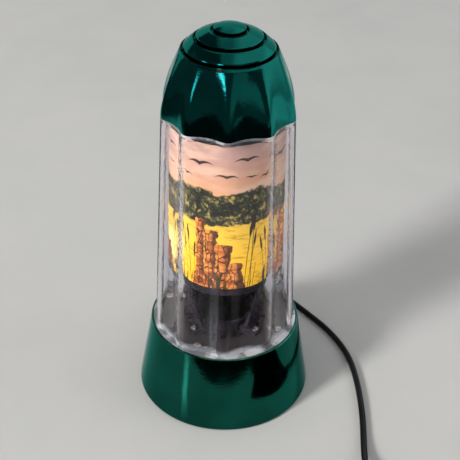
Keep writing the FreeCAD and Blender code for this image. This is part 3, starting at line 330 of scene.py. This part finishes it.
# %% [markdown]
# ## Green metallised plastic
# The base and the cap are moulded in plastic, coated with a mirror of aluminium in a vacuum, and
# dipped in a green lacquer. Green plastic under a thick clear coat would come close, but its
# reflections would stay white, while lacquered metal tints all that it mirrors. So the shader is
# metal with a deep green tint and only a thin clear coat. Metal turns white where it is seen
# edge-on, so the specular tint keeps the outline green. The moulding under the mirror isn't
# perfectly flat: slow waves bend the reflections, and an orange-peel grain frays them.

# %% Places on the cap and the base
RIM_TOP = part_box("base_shell")[1].z / MM
CAP_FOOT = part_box("cap_dome")[0].z / MM
CROWN_FROM = 264.0
GROOVES = (11.5, 22.4, 30.4)
green_metal, place = new_material("green_lacquered_metal")
x, y, z = in_mm(place)
radius = from_middle(x, y)
print("rim at", round(RIM_TOP, 2), "mm, cap from", round(CAP_FOOT, 2), "mm, grooves at", GROOVES)

# %% [markdown]
# The three sunk grooves of the cap are painted nearly black, as painted shade in their recesses,
# and the lips of those grooves are a little rounded, which a bump shows as small glints. Both are
# bands of the distance from the axis, on the crown only. The cap gets a lighter green than the base.

# %% Painted groove shade and colour of the lacquer
painted_groove_shade = any_of([radius.between(groove - 1.1, groove + 0.8, 0.15) for groove in GROOVES])
painted_groove_shade = painted_groove_shade & z.rise(CROWN_FROM, CROWN_FROM + 1.0)
lips = any_of([radius.between(groove - 1.3, groove + 1.3, 0.5) for groove in GROOVES])
lips = lips & z.rise(CROWN_FROM - 9.0, CROWN_FROM - 2.0)
cloud = place.noise(28.0, 2.0).rise(0.3, 0.7)
cap_lacquer = cloud.blend((0.0022, 0.115, 0.097), (0.0040, 0.160, 0.136))
base_lacquer = cloud.blend((0.0016, 0.066, 0.047), (0.0030, 0.094, 0.068))
lacquer = z.rise(RIM_TOP, CAP_FOOT).blend(base_lacquer, cap_lacquer)
# Painted shade: the three grooves of the crown are coloured nearly black.
lacquer = painted_groove_shade.blend(lacquer, (0.001, 0.030, 0.026))
print("nodes so far:", len(green_metal.node_tree.nodes))

# %% [markdown]
# Along the sharp top edge of the base a paler green is painted as a highlight, stronger here and
# weaker there.

# %% Painted highlight on the edge of the base
EDGE_INSIDE, EDGE_OUTSIDE = 52.9, 55.0
smears = place.stretched(1, 1, 0.3).noise(60.0, 3.0, 0.6)
painted_rim_highlight = z.between(RIM_TOP - 0.7, RIM_TOP + 1.0, 0.3)
painted_rim_highlight = painted_rim_highlight & radius.between(EDGE_INSIDE, EDGE_OUTSIDE, 0.3)
painted_rim_highlight = painted_rim_highlight * smears.rise(0.40, 0.60, 0.3, 1.0)
# Painted highlight: a paler green along the top edge of the base.
lacquer = painted_rim_highlight.blend(lacquer, (0.04, 0.24, 0.19))
print("nodes so far:", len(green_metal.node_tree.nodes))

# %% [markdown]
# Thumbed patches, specks of dust and a few hairline scratches dull the mirror, but only a little,
# because a lamp on a shelf is wiped now and then.

# %% Green lacquer over metal
waves = place.noise(48.0, 1.0)
peel = place.noise(420.0, 2.0, 0.6)
dust = place.noise(1100.0, 3.0, 0.7)
hairlines = place.stretched(1, 0.3, 0.04).noise(900.0, 2.0, 0.7, 0.6)
scratch = abs(hairlines - 0.5).rise(0.0, 0.006, 1.0, 0.0) & smears.rise(0.5, 0.6)
surface(place, finish_of(
    place,
    Base_Color=dust.rise(0.70, 0.76, 0.0, 0.25).blend(lacquer, (0.20, 0.27, 0.25)),
    Metallic=1.0,
    Roughness=(0.085 + smears.rise(0.45, 0.75) * 0.07 + dust.rise(0.68, 0.75) * 0.2
               + scratch * 0.12),
    Specular_Tint=(0.42, 0.80, 0.74), Coat_Weight=0.10, Coat_Roughness=0.03, Coat_IOR=1.5,
    Normal=bumped(waves + peel * 0.25 - lips * 1.8, 0.00022)))
wear(green_metal, "base_shell", "cap_dome")

# %% [markdown]
# ## Clear shade
# The shade is one injection moulding of clear acrylic with ten flutes, each of which acts as a
# lens. A mix of a transparent and a glossy shader would render faster, but it bends no light. Real
# refraction in a wall of real thickness makes the bright and dark streaks by itself, and flow lines
# along the draw of the mould add the finer ones. A clean shade shows what is inside more than what
# is around it, so the specular tint holds its mirror images back.

# %% Clear acrylic
clear_plastic, place = new_material("clear_fluted_acrylic")
z = place.part(2) / MM
flow = place.stretched(1, 1, 0.025).noise(120.0, 3.0, 0.6)
grime = place.noise(240.0, 4.0, 0.65)
specks = place.noise(700.0, 3.0, 0.7)
acrylic = finish_of(
    place, Base_Color=(0.925, 0.905, 0.945), Transmission_Weight=1.0, IOR=1.49,
    Roughness=0.012 + grime.rise(0.6, 0.8) * 0.06 + specks.rise(0.70, 0.76) * 0.2,
    Specular_Tint=(0.36, 0.36, 0.40), Normal=bumped(flow, 0.00009))
print("nodes so far:", len(clear_plastic.node_tree.nodes))

# %% [markdown]
# At its foot the moulding is thick and milky, which reads as silver above the green rim, so a
# frosted shader takes over there, and again on the cut edge under the cap and the neck in it. A path
# tracer finds no lamp through such a solid wall, so the rays that it sends towards lamps meet a
# transparent shader instead.

# %% Milky foot and cut edge
SHADE_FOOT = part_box("shade_shell")[0].z / MM
clots = place.noise(95.0, 2.0, 0.5, 0.4)
milky = finish_of(
    place, Base_Color=clots.rise(0.42, 0.60).blend((0.26, 0.27, 0.30), (0.74, 0.75, 0.78)),
    Roughness=0.16 + grime * 0.12, Transmission_Weight=0.45, IOR=1.49,
    Normal=bumped(clots, 0.0004))
foot = (z - flow * 5.0).rise(SHADE_FOOT + 0.5, SHADE_FOOT + 6.0, 0.9, 0.0)
top_edge = (z - flow * 0.8).rise(CAP_FOOT - 2.6, CAP_FOOT - 1.6, 0.0, 0.85)
moulding = place.node("MixShader", {0: foot | top_edge, 1: acrylic, 2: milky})
lamps_pass = place.node("BsdfTransparent", {"Color": (0.9, 0.89, 0.91, 1)})
shadow_ray = place.node("LightPath", out=1)
surface(place, place.node("MixShader", {0: shadow_ray, 1: moulding, 2: lamps_pass}))
wear(clear_plastic, "shade_shell")

# %% [markdown]
# ## Printed film
# A picture is printed on a clear film rolled into a tube. An image file could be wrapped round it,
# but a picture made of formulas stays sharp at any size. The shader unrolls the tube: one coordinate
# is the way round it in millimetres, nought at the front, and the other is the height. A remainder
# repeats the way round four times, so each quarter of the tube shows the picture once.

# %% Film coordinates
def way_round(x, y):
    """The angle round the lamp's axis in radians, nought at the front."""
    return x.maths("ARCTAN2", y * -1.0)


film_low, film_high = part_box("static_film")
FILM_FOOT, FILM_TOP, FILM_RADIUS = film_low.z / MM, film_high.z / MM, film_high.x / MM
QUARTER = math.tau * FILM_RADIUS / 4
PICTURE_SHIFT = 8.0
film_print, place = new_material("printed_landscape_film")
x, y, z = in_mm(place)
around = way_round(x, y) * FILM_RADIUS
local = (around + QUARTER / 2 + PICTURE_SHIFT) % QUARTER - QUARTER / 2
print("each picture is", round(QUARTER, 1), "mm wide and", round(FILM_TOP - FILM_FOOT), "mm tall")

# %% [markdown]
# The landscape is built up from the back. The sky is two tones with stretched noise for clouds. The
# ground is sunlit grass, deep yellow at the foot, with level streaks of darker straw. On the real
# lamp the bulb glares through the print at the left, so one pale pool lies on the ground there.

# %% Sky and ground
soft_clouds = place.stretched(1, 1, 3.5).noise(26.0, 3.0, 0.55)
sky = z.rise(FILM_TOP - 42.0, FILM_TOP).blend((0.84, 0.43, 0.22), (0.56, 0.36, 0.30))
sky = soft_clouds.rise(0.46, 0.66).blend(sky, (0.82, 0.54, 0.38))
swell = place.noise(38.0, 2.0)
straw = place.stretched(1, 1, 4.0).noise(120.0, 3.0, 0.6)
ground = z.rise(FILM_FOOT + 2.0, FILM_FOOT + 55.0).blend((0.98, 0.56, 0.018), (0.86, 0.56, 0.06))
ground = straw.rise(0.50, 0.72).blend(ground, (0.55, 0.25, 0.012))
pool = (z - swell * 12.0).between(FILM_FOOT, FILM_FOOT + 27.0, 5.0)
pool = pool & around.between(-54.0, -39.0, 4.0)
ground = pool.blend(ground, (0.98, 0.66, 0.21))
print("nodes so far:", len(film_print.node_tree.nodes))

# %% [markdown]
# Between them runs a belt of bushes. Its upper and lower edges are heights that a slow noise swells
# and a fine one frays, and the same fine noise picks the colours of the leaves from a ramp.

# %% Belt of bushes
BUSH_TOP, BUSH_FOOT = 171.0, 163.0
tufts = place.noise(230.0, 4.0, 0.7)
bush_top = swell * 22.0 + tufts * 9.0 + BUSH_TOP
bush_foot = swell * -9.0 + tufts * 6.0 + BUSH_FOOT
bushes = (bush_top - z).rise(-0.6, 0.6) & (z - bush_foot).rise(-0.6, 0.6)
leaves = tufts.node("ValToRGB", {0: tufts}, stops=[
    (0.38, (0.006, 0.008, 0.006)), (0.50, (0.030, 0.036, 0.015)),
    (0.56, (0.13, 0.12, 0.04)), (0.65, (0.55, 0.40, 0.10))])
scene_print = (z - bush_foot).rise(-0.5, 0.5).blend(ground, sky)
scene_print = bushes.blend(scene_print, leaves)
print("nodes so far:", len(film_print.node_tree.nodes))

# %% [markdown]
# Pillars of layered sandstone stand in the middle of the picture. A pillar is wherever the distance
# to its centre line is under a half width, and that half width changes with the layers of the rock,
# grows at the foot and juts out under the top. One side is lit, the other lies in shade.

# %% Sandstone pillars
# Each pillar's centre line, top and half width.
PILLARS = [(-9.5, 166, 2.9), (-2.0, 158, 3.9), (6.5, 147, 4.3), (14.5, 132, 3.6)]
SPREAD_BELOW = 126.0
layers = place.stretched(0.12, 0.12, 1).noise(230.0, 3.0, 0.65)
blocks = place.stretched(1, 1, 0.45)
chinks = blocks.node("TexVoronoi", {"Vector": blocks, "Scale": 300.0, "Randomness": 0.95},
                     feature="DISTANCE_TO_EDGE")
for centre, top, half_width in PILLARS:
    offset = local - centre + (tufts - 0.5) * 2.4
    half = (layers * 1.3 + 0.42) * half_width + ((SPREAD_BELOW - z) | 0.0) * 0.22
    half = half + z.between(top - 6.5, top + 3.0, 0.5) * half_width * 0.22
    pillar = (abs(offset) - half).rise(-0.25, 0.25, 1.0, 0.0)
    pillar = pillar & (z - top + abs(offset) * 0.18).rise(-0.4, 0.4, 1.0, 0.0)
    rock = layers.rise(0.36, 0.62).blend((0.36, 0.075, 0.010), (0.84, 0.33, 0.07))
    rock = chinks.rise(0.03, 0.09).blend((0.040, 0.012, 0.008), rock)
    rock = (offset / half_width).rise(-0.3, 0.8, 0.0, 0.85).blend(rock, (0.050, 0.014, 0.010))
    scene_print = pillar.blend(scene_print, rock)
print(len(PILLARS), "pillars in each picture")

# %% [markdown]
# A reed is a thin stem that leans and bends more the higher it rises, with a seed head where the
# stem is widened by a rounded bump. Low grass is a stretched noise cut off above a ragged height.

# %% Reeds and grass
# Each reed's root, lean, top and width.
REEDS = [(21, 0.10, 158, 0.55), (23.5, 0.16, 150, 0.45), (25, 0.05, 163, 0.6),
         (27, 0.22, 146, 0.5), (-17, -0.12, 150, 0.5), (-20, -0.2, 143, 0.45),
         (-14.5, 0.03, 139, 0.4)]
HEAD_LENGTH = 7.0
blades = []
for root, lean, top, width in REEDS:
    rise = z - (FILM_FOOT + 2.0)
    stem = abs(local - root - rise * lean * 0.5 - rise * rise * lean * 0.008) - width * 0.5
    spike = abs(z - top) / HEAD_LENGTH
    head = stem - ((1.0 - spike * spike) | 0.0) * width * 1.8
    blades.append(head.rise(-0.18, 0.12, 1.0, 0.0) & (z - top - 6.0).rise(-0.5, 0.5, 1.0, 0.0))
scene_print = any_of(blades).blend(scene_print, (0.030, 0.013, 0.008))
wisps = place.stretched(1, 1, 0.16).noise(330.0, 2.0, 0.5)
grass_top = wisps * 30.0 + (FILM_FOOT - 7.0)
grass = wisps.rise(0.55, 0.59) & (grass_top - z).rise(-2.0, 2.0)
scene_print = grass.blend(scene_print, (0.045, 0.040, 0.012))
print(len(REEDS), "reeds in each picture")

# %% [markdown]
# A distant bird is two arched strokes. The arch is a parabola on each side of the body, tilted a
# little, and the stroke thins out towards the wing tips.

# %% Birds
# Each bird's centre, height, span and tilt.
BIRDS = [(-10, 207, 10.5, 0.15), (8, 199, 8.0, -0.1), (21, 211, 9.5, 0.05),
         (-22, 196, 6.5, 0.1), (24, 198, 5.0, -0.15)]
flock = []
for centre, height, span, tilt in BIRDS:
    along = (local - centre) / span
    arch = abs(along) * 1.1 - along * along * 1.25 + along * tilt
    wing = abs(z - height - arch * span * 0.55) - (1.0 - abs(along)) * span * 0.13
    flock.append(wing.rise(-0.12, 0.14, 1.0, 0.0) & abs(along).rise(0.95, 1.0, 1.0, 0.0))
scene_print = any_of(flock).blend(scene_print, (0.055, 0.022, 0.018))
print(len(BIRDS), "birds in each picture")

# %% [markdown]
# The bulb stands low in the tube, so the print glows most at the bulb's height and in the pool. Its
# colours go out as light, scaled by that glow, and about half of them stay as plain ink, so that
# the picture shows by the room's light too. The inside of the tube glows less than the outside.

# %% Light through the film
GLOW_HEIGHT, GLOW_REACH = 134.0, 40.0
radius = from_middle(x, y)
above = (z - GLOW_HEIGHT) / GLOW_REACH
glow = (above * above * -1.0).maths("EXPONENT") * 0.37 + 0.20 + pool * 0.45
glow = glow * radius.rise(FILM_RADIUS - 0.3, FILM_RADIUS - 0.1, 0.35, 1.0)
surface(place, finish_of(
    place, Base_Color=scene_print.scaled(0.55), Roughness=0.34 + tufts * 0.12,
    Emission_Color=scene_print.scaled(glow), Emission_Strength=1.0))
wear(film_print, "static_film")

# %% [markdown]
# The drum inside carries its own print, plain ripples of colour, so that turning it makes the fixed
# picture shimmer. The ripples are slanted waves round the drum. Its upper part lies above the bulb
# and is nearly dark, or it would shine out under the edge of the cap.

# %% Ripples on the drum
RIPPLES_ROUND = 9.0
DIM_FROM, DARK_FROM = 150.0, 196.0
drum_print, place = new_material("rippled_drum_film")
x, y, z = in_mm(place)
drift = place.noise(40.0, 3.0)
ripple = (way_round(x, y) * RIPPLES_ROUND + z * 0.22 + drift * 9.0).maths("SINE")
ripple_print = ripple.rise(-0.5, 0.5).blend((0.95, 0.62, 0.12), (0.80, 0.30, 0.06))
ripple_print = drift.rise(0.55, 0.62).blend(ripple_print, (0.90, 0.80, 0.40))
lit = z.rise(DIM_FROM, DARK_FROM, 0.7, 0.04)
surface(place, finish_of(
    place, Base_Color=ripple_print.scaled(0.25), Roughness=0.35,
    Emission_Color=ripple_print.scaled(lit), Emission_Strength=1.0))
wear(drum_print, "drum_film")

# %% [markdown]
# ## Moulded plastics
# The black parts are plain satin mouldings. A fine spark-erosion grain on the mould shows as tiny
# bumps and as uneven gloss. One function makes them all from two tones, a roughness, and the size
# and depth of the grain. A last number dims the shine of parts that are filmed with dust.

# %% A moulded plastic
def moulded(name, dark, light, roughness, grain_size, grain_depth, shine=0.5):
    """A moulded plastic with fine grain, in millimetres, and slow changes of tone."""
    material, place = new_material(name)
    tone = place.noise(35.0, 3.0, 0.6)
    grain = place.noise(1.0 / (grain_size * MM), 2.0, 0.6)
    surface(place, finish_of(
        place, Base_Color=tone.rise(0.35, 0.65).blend(dark, light),
        Roughness=roughness + grain * 0.14 + tone.rise(0.5, 0.7) * 0.06,
        Specular_IOR_Level=shine, Normal=bumped(grain, grain_depth * MM)))
    return material


black_plastic = moulded("black_satin_plastic", (0.010, 0.010, 0.011), (0.020, 0.019, 0.019),
                        roughness=0.30, grain_size=0.5, grain_depth=0.02)
wear(black_plastic, "bottom_cover", "cord_clamp", "film_ring", "cord_tie", "drum_hoop")

# %% [markdown]
# The other mouldings differ a little, as those of a real lamp do. The stand is a smoother, smoked
# plastic and the socket a resin that stands the heat, both dusty. The switch and the plug have a
# finer and deeper grain, and the feet are a soft grey-black rubber.

# %% Stand, socket, switch and feet
stand_plastic = moulded("smoked_stand_plastic", (0.010, 0.009, 0.012), (0.022, 0.019, 0.025),
                        roughness=0.20, grain_size=0.9, grain_depth=0.01, shine=0.25)
wear(stand_plastic, "film_stand")
socket_resin = moulded("dark_socket_resin", (0.002, 0.002, 0.002), (0.006, 0.005, 0.004),
                       roughness=0.30, grain_size=1.2, grain_depth=0.02, shine=0.1)
wear(socket_resin, "lamp_socket")
switch_plastic = moulded("black_switch_plastic", (0.011, 0.011, 0.012), (0.021, 0.021, 0.022),
                         roughness=0.34, grain_size=0.35, grain_depth=0.03)
wear(switch_plastic, "switch_base", "switch_cover", "plug_body")
foot_rubber = moulded("grey_black_rubber", (0.022, 0.021, 0.020), (0.045, 0.042, 0.040),
                      roughness=0.68, grain_size=0.4, grain_depth=0.05)
wear(foot_rubber, "rubber_feet")

# %% [markdown]
# The deck is paler grey and rougher at its two sides, in a patchy coat with a noisy edge, and stays
# dark in its middle.

# %% Deck with paler sides
SIDE_COAT_FROM, SIDE_COAT_FULL = 32.0, 54.0
deck_plastic, place = new_material("two_tone_deck_plastic")
patches = place.noise(35.0, 3.0, 0.6)
speckle = place.noise(900.0, 3.0, 0.7)
side_reach = (abs(place.part(0)) / MM + patches * 20.0).rise(SIDE_COAT_FROM, SIDE_COAT_FULL)
side_coat = side_reach * speckle.rise(0.25, 0.65, 0.55, 1.0)
bare_deck = patches.rise(0.35, 0.65).blend((0.006, 0.006, 0.007), (0.014, 0.012, 0.013))
surface(place, finish_of(
    place, Base_Color=side_coat.blend(bare_deck, (0.072, 0.070, 0.070)),
    Roughness=0.42 + side_coat * 0.3, Specular_IOR_Level=0.12, Normal=bumped(speckle, 0.00002)))
wear(deck_plastic, "base_deck")

# %% [markdown]
# The rocker is polished, and its two ends carry the plain marks for on and off, a stroke and a
# ring. They are printed, so they are paint on the surface: a distance from the mark's middle, and
# a threshold on it. The rocker sits in the middle of the switch, and only its upper face, above the
# height given, takes the print.

# %% Rocker with its marks
switch_low, switch_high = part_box("switch_cover")
SWITCH_MIDDLE = (switch_low + switch_high) / 2 / MM
UPPER_FACE_FROM = 13.0
MARK_PLACE, STROKE_HALF, RING_RADIUS = 4.8, 1.95, 1.7
rocker_plastic, place = new_material("polished_rocker_plastic")
x, y, z = in_mm(place)
across = x - SWITCH_MIDDLE.x
along = y - SWITCH_MIDDLE.y
upper_face = z.rise(UPPER_FACE_FROM, UPPER_FACE_FROM + 0.2)
stroke = abs(along - MARK_PLACE).rise(0.35, 0.45, 1.0, 0.0)
stroke = stroke & abs(across).rise(STROKE_HALF - 0.05, STROKE_HALF + 0.05, 1.0, 0.0)
ring = abs(from_middle(across, along + MARK_PLACE) - RING_RADIUS).rise(0.30, 0.40, 1.0, 0.0)
rubbed = place.noise(900.0, 3.0, 0.7).rise(0.40, 0.62, 0.95, 0.45)
print_on_rocker = (stroke | ring) & upper_face & rubbed
surface(place, finish_of(
    place, Base_Color=print_on_rocker.blend((0.010, 0.010, 0.011), (0.62, 0.62, 0.60)),
    Roughness=0.14 + rubbed * 0.12 + print_on_rocker * 0.3,
    Normal=bumped(print_on_rocker, 0.00003)))
wear(rocker_plastic, "switch_rocker")
print("switch in the middle of", [round(number, 1) for number in SWITCH_MIDDLE], "mm")

# %% [markdown]
# ## Cord sheath
# The sheath is black PVC with a soft gloss. It comes out of the extruder with a faint grain, and
# handling leaves it a little duller in places.

# %% Cord sheath
cord_rubber, place = new_material("black_cord_sheath")
handled = place.noise(45.0, 3.0, 0.6)
fine_grain = place.noise(1400.0, 1.0)
surface(place, finish_of(
    place, Base_Color=handled.rise(0.4, 0.7).blend((0.005, 0.005, 0.006), (0.010, 0.010, 0.012)),
    Roughness=0.30 + handled.rise(0.5, 0.7) * 0.14, Specular_IOR_Level=0.14,
    Normal=bumped(fine_grain, 0.00002)))
mains_cord.data.materials.append(cord_rubber)
wear(cord_rubber, "inner_cord", "socket_leads", "strain_relief")

# %% [markdown]
# ## Metals
# A bare or plated metal is never one even mirror: its tone and its gloss are mottled, and handling
# leaves fine scratches. One function makes them all from two tones and a roughness.

# %% A plain metal
def plain_metal(name, dark, light, roughness):
    """A bare or plated metal with mottled tone and fine scratches."""
    material, place = new_material(name)
    mottle = place.noise(260.0, 3.0, 0.6)
    scratches = place.stretched(1, 1, 0.08).noise(1500.0, 2.0, 0.6)
    surface(place, finish_of(
        place, Base_Color=mottle.rise(0.35, 0.65).blend(dark, light), Metallic=1.0,
        Roughness=roughness + scratches.rise(0.5, 0.7) * 0.12 + mottle * 0.08,
        Normal=bumped(scratches, 0.00001)))
    return material


# %% [markdown]
# Screws, strap and wire are steel, plated with zinc that keeps rust off. The parts that carry
# current are brass, and so is the bearing cup. The bulb's cap and the vanes are aluminium, which is
# light. The vane wheel is dulled by warm dust, so it doesn't flash under the cap.

# %% Steel, brass and aluminium
steel = plain_metal("zinc_plated_steel", (0.46, 0.46, 0.45), (0.62, 0.61, 0.58), roughness=0.22)
wear(steel, "cover_screws", "deck_screws", "clamp_screws", "socket_strap", "socket_screws",
     "stand_screws", "wire_bail", "pivot_needle", "switch_screws")
brass = plain_metal("yellow_brass", (0.62, 0.43, 0.17), (0.78, 0.58, 0.27), roughness=0.20)
wear(brass, "socket_shell", "socket_contact", "plug_blades", "pivot_cup", "bulb_tip")
aluminium = plain_metal("spun_aluminium", (0.62, 0.61, 0.60), (0.80, 0.79, 0.77), roughness=0.26)
wear(aluminium, "bulb_cap")
vane_metal = plain_metal("dull_vane_metal", (0.09, 0.09, 0.09), (0.16, 0.155, 0.15), roughness=0.50)
wear(vane_metal, "vane_wheel")

# %% [markdown]
# ## Bulb
# The bulb is a small frosted lamp, lit. A light inside a glass that scatters it would be slow to
# render and noisy. Frosted glass glows evenly all over, so a pale surface that sends out warm light
# itself, a little less at its neck, looks the same.

# %% Bulb
NECK_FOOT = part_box("bulb_glass")[0].z / MM
NECK_LENGTH = 26.0
bulb_glass, place = new_material("frosted_bulb_glass")
frost = place.noise(500.0, 2.0)
above_neck = (place.part(2) / MM).rise(NECK_FOOT + 1.0, NECK_FOOT + NECK_LENGTH)
warm = above_neck.blend((0.55, 0.24, 0.07), (1.0, 0.62, 0.27))
surface(place, finish_of(place, Base_Color=(0.86, 0.82, 0.74), Roughness=0.35 + frost * 0.2,
                         Emission_Color=warm, Emission_Strength=3.2))
wear(bulb_glass, "bulb_glass", "bulb_stem")

# %% [markdown]
# The filament inside is hotter, and its coils are a fast wave along its length. The insulator round
# the tip of the bulb's cap is black glass, which the function for moulded parts makes well enough:
# very smooth, with hardly any grain.

# %% Filament and insulator
COIL_PITCH = 1.5708
filament, place = new_material("glowing_filament")
coils = (place.part(0) / MM * (math.tau / COIL_PITCH)).maths("SINE")
surface(place, finish_of(
    place, Base_Color=(0.2, 0.2, 0.2), Metallic=1.0, Roughness=0.4,
    Emission_Color=coils.rise(-1.0, 1.0).blend((1.0, 0.55, 0.2), (1.0, 0.8, 0.5)),
    Emission_Strength=12.0))
wear(filament, "bulb_filament")
insulator = moulded("black_glass_insulator", (0.006, 0.006, 0.010), (0.014, 0.013, 0.020),
                    roughness=0.08, grain_size=0.7, grain_depth=0.005)
wear(insulator, "bulb_insulator")

# %% [markdown]
# ## Floor
# A wide pale floor carries the lamp and its shadow. It is a grid so large that its edge meets the
# surroundings in one far horizon, painted with a cloudy tone so that it isn't a flat grey. Far from
# the lamps the paint is lighter, which makes up for the light that doesn't reach there. The paint
# has no gloss at all, so that the cards, which only reflections see, don't show in it.

# %% Floor
FLOOR_HALF = 30.0
floor_mesh = bmesh.new()
bmesh.ops.create_grid(floor_mesh, x_segments=8, y_segments=8, size=FLOOR_HALF)
floor_data = bpy.data.meshes.new("floor")
floor_mesh.to_mesh(floor_data)
floor_mesh.free()
floor = bpy.data.objects.new("floor", floor_data)
bpy.context.scene.collection.objects.link(floor)
floor_paint, place = new_material("pale_floor")
cloudy = place.noise(9.0, 4.0, 0.6)
near_tone = cloudy.rise(0.3, 0.7).blend((0.515, 0.515, 0.505), (0.545, 0.54, 0.53))
far_off = from_middle(place.part(0), place.part(1)).rise(1.2, 6.0)
surface(place, finish_of(
    place, Base_Color=far_off.blend(near_tone, (0.93, 0.93, 0.92)), Roughness=0.8,
    Specular_IOR_Level=0.0))
floor_data.materials.append(floor_paint)
print("floor", 2 * FLOOR_HALF, "m across")

# %% [markdown]
# ## Lamps and cards
# The key lamp is a soft box on the left, and a weak fill comes from the right. They are area lamps,
# because a lamp without a size would cast a hard shadow. Both light the object but don't show in
# its mirrors, where they would burn out.

# %% Soft boxes
MIDDLE = Vector((0, 0, 0.15))


def towards(target, at):
    """The turn that points the face of something at this place to the target."""
    return (Vector(target) - Vector(at)).to_track_quat("-Z", "Y").to_euler()


def soft_box(name, at, size, watts, colour):
    """A rectangular area lamp, turned to the middle of the model, that reflections don't see."""
    data = bpy.data.lights.new(name, "AREA")
    data.shape = "RECTANGLE"
    data.size, data.size_y = size
    data.energy = watts
    data.color = colour
    lamp = bpy.data.objects.new(name, data)
    lamp.location = at
    lamp.rotation_euler = towards(MIDDLE, at)
    lamp.visible_glossy = False
    bpy.context.scene.collection.objects.link(lamp)
    print(name, "of", watts, "W,", size[0], "by", size[1], "m")


soft_box("key_box", (-3.2, -2.6, 2.3), (0.80, 0.88), 230.0, (1.0, 0.985, 0.96))
soft_box("fill_box", (2.6, -0.7, 1.7), (1.6, 1.6), 14.0, (0.92, 0.96, 1.0))

# %% [markdown]
# Polished metal looks like whatever stands around it, so a studio sets up cards for it alone. Real
# cards would light the floor too. Here a card is a glowing grid that only mirror-like reflections
# can see. A soft card fades out towards its edge, where the transparent shader takes over.

# %% One card
def card(name, at, turn, size, colour, strength, soft=0.001, taper=0.0):
    """A glowing or dark card that only reflections see, narrower to one end by the taper."""
    width, height = size
    grid = bmesh.new()
    bmesh.ops.create_grid(grid, x_segments=1, y_segments=1, size=0.5,
                          matrix=Matrix.Diagonal((width, height, 1, 1)))
    data = bpy.data.meshes.new(name)
    grid.to_mesh(data)
    grid.free()
    card_paint, place = new_material(name)
    along = place.part(0) * (2 / width)
    reach = abs(along) | abs(place.part(1) * (2 / height)) / (1.0 - (along + 1.0) * (taper / 2))
    clear = place.node("BsdfTransparent")
    light = place.node("Emission", {"Color": (*colour, 1), "Strength": strength})
    surface(place, place.node("MixShader", {0: reach.rise(1 - soft, 1.0), 1: light, 2: clear}))
    data.materials.append(card_paint)
    made = bpy.data.objects.new(name, data)
    made.location = at
    made.rotation_euler = turn
    made.visible_camera = False
    made.visible_diffuse = False
    made.visible_transmission = False
    made.visible_shadow = False
    bpy.context.scene.collection.objects.link(made)
    print(name, "of", width, "by", height, "m")


# %% [markdown]
# Two bright bluish cards stand in for the key lamp. Large dark ones stand in front, at the near
# right corner, on the left and above the left, so the metal is deep there. Pale ones on the right
# and above it give the metal a light side.

# %% Cards around the lamp
BLUISH = (0.80, 0.90, 1.08)
PALE = (0.94, 1.0, 1.0)
DARK = (0.45, 0.5, 0.55)
FLAT = (0, 0, 0)
FACING_FRONT = (math.pi / 2, 0, 0)
FACING_CORNER = (math.pi / 2, 0, math.radians(57))
FACING_SIDE = (math.pi / 2, 0, math.pi / 2)
UPPER_KEY = (-0.45, -1.12, 0.70)
LOWER_KEY = (-1.06, -0.60, 0.52)
card("upper_key_card", UPPER_KEY, towards(MIDDLE, UPPER_KEY), (0.36, 0.24), BLUISH, 9.0, soft=0.9)
card("lower_key_card", LOWER_KEY, towards(MIDDLE, LOWER_KEY), (0.34, 0.28), BLUISH, 5.0, soft=0.9)
card("front_card", (-0.2, -1.7, 0.8), FACING_FRONT, (3.4, 1.6), DARK, 0.20)
card("front_right_card", (0.9, -1.6, 0.7), FACING_FRONT, (1.1, 1.0), PALE, 0.35, soft=0.5)
card("corner_card", (1.7, -1.1, 0.8), FACING_CORNER, (1.4, 1.6), DARK, 0.16)
card("left_card", (-1.7, -0.4, 0.8), FACING_SIDE, (2.6, 1.6), DARK, 0.20)
card("right_card", (1.9, 0.75, 0.9), FACING_SIDE, (2.6, 1.8), PALE, 1.1, soft=0.4)
card("top_left_card", (-1.65, 0.3, 1.6), FLAT, (2.8, 4.2), DARK, 0.12, soft=0.15)
card("top_right_card", (1.3, 0.5, 1.7), FLAT, (2.5, 4.0), PALE, 0.85, soft=0.3)

# %% [markdown]
# The wall of the base leans inwards, yet whoever looks down at it sees the floor in it and not the
# room. Cards that lie on the floor show there as dark and pale patches, and one narrow wedge as a
# bright streak. Where two overlap, one lies a little above the other, so that they share no plane.

# %% Cards on the floor
NEAR_TURN = (0, 0, math.radians(57))
STREAK_TURN = (0, 0, math.radians(33.4))
card("left_floor_card", (-1.6, 0.2, 0.001), FLAT, (2.4, 2.6), DARK, 0.12, soft=0.2)
card("right_floor_card", (1.05, 0.45, 0.001), FLAT, (1.3, 1.8), PALE, 1.0, soft=0.35)
card("front_floor_card", (-0.2, -0.92, 0.002), FLAT, (3.0, 1.56), DARK, 0.03)
card("near_floor_card", (0.122, -0.091, 0.003), NEAR_TURN, (0.085, 0.12), DARK, 0.01)
card("streak_card", (-0.082, -0.093, 0.004), STREAK_TURN, (0.14, 0.030), PALE, 2.4, soft=0.8,
     taper=0.85)

# %% [markdown]
# ## Surroundings
# The world is an even pale room that darkens overhead, as a room does whose light comes from the
# sides. Colours are shown as they are written, with the Standard view.

# %% Surroundings
world = bpy.data.worlds.new("studio")
bpy.context.scene.world = world
world.use_nodes = True
world.node_tree.nodes.clear()
up = Signal(world.node_tree).node("TexCoord", out=0).part(2)
walls = up.rise(0.45, 1.0).blend((0.62, 0.62, 0.61), (0.34, 0.35, 0.36))
studio = up.node("Background", {"Color": walls, "Strength": 1.0})
studio.node("OutputWorld", {"Surface": studio})
bpy.context.scene.view_settings.view_transform = "Standard"
print("world", world.name, "of", len(world.node_tree.nodes), "nodes")
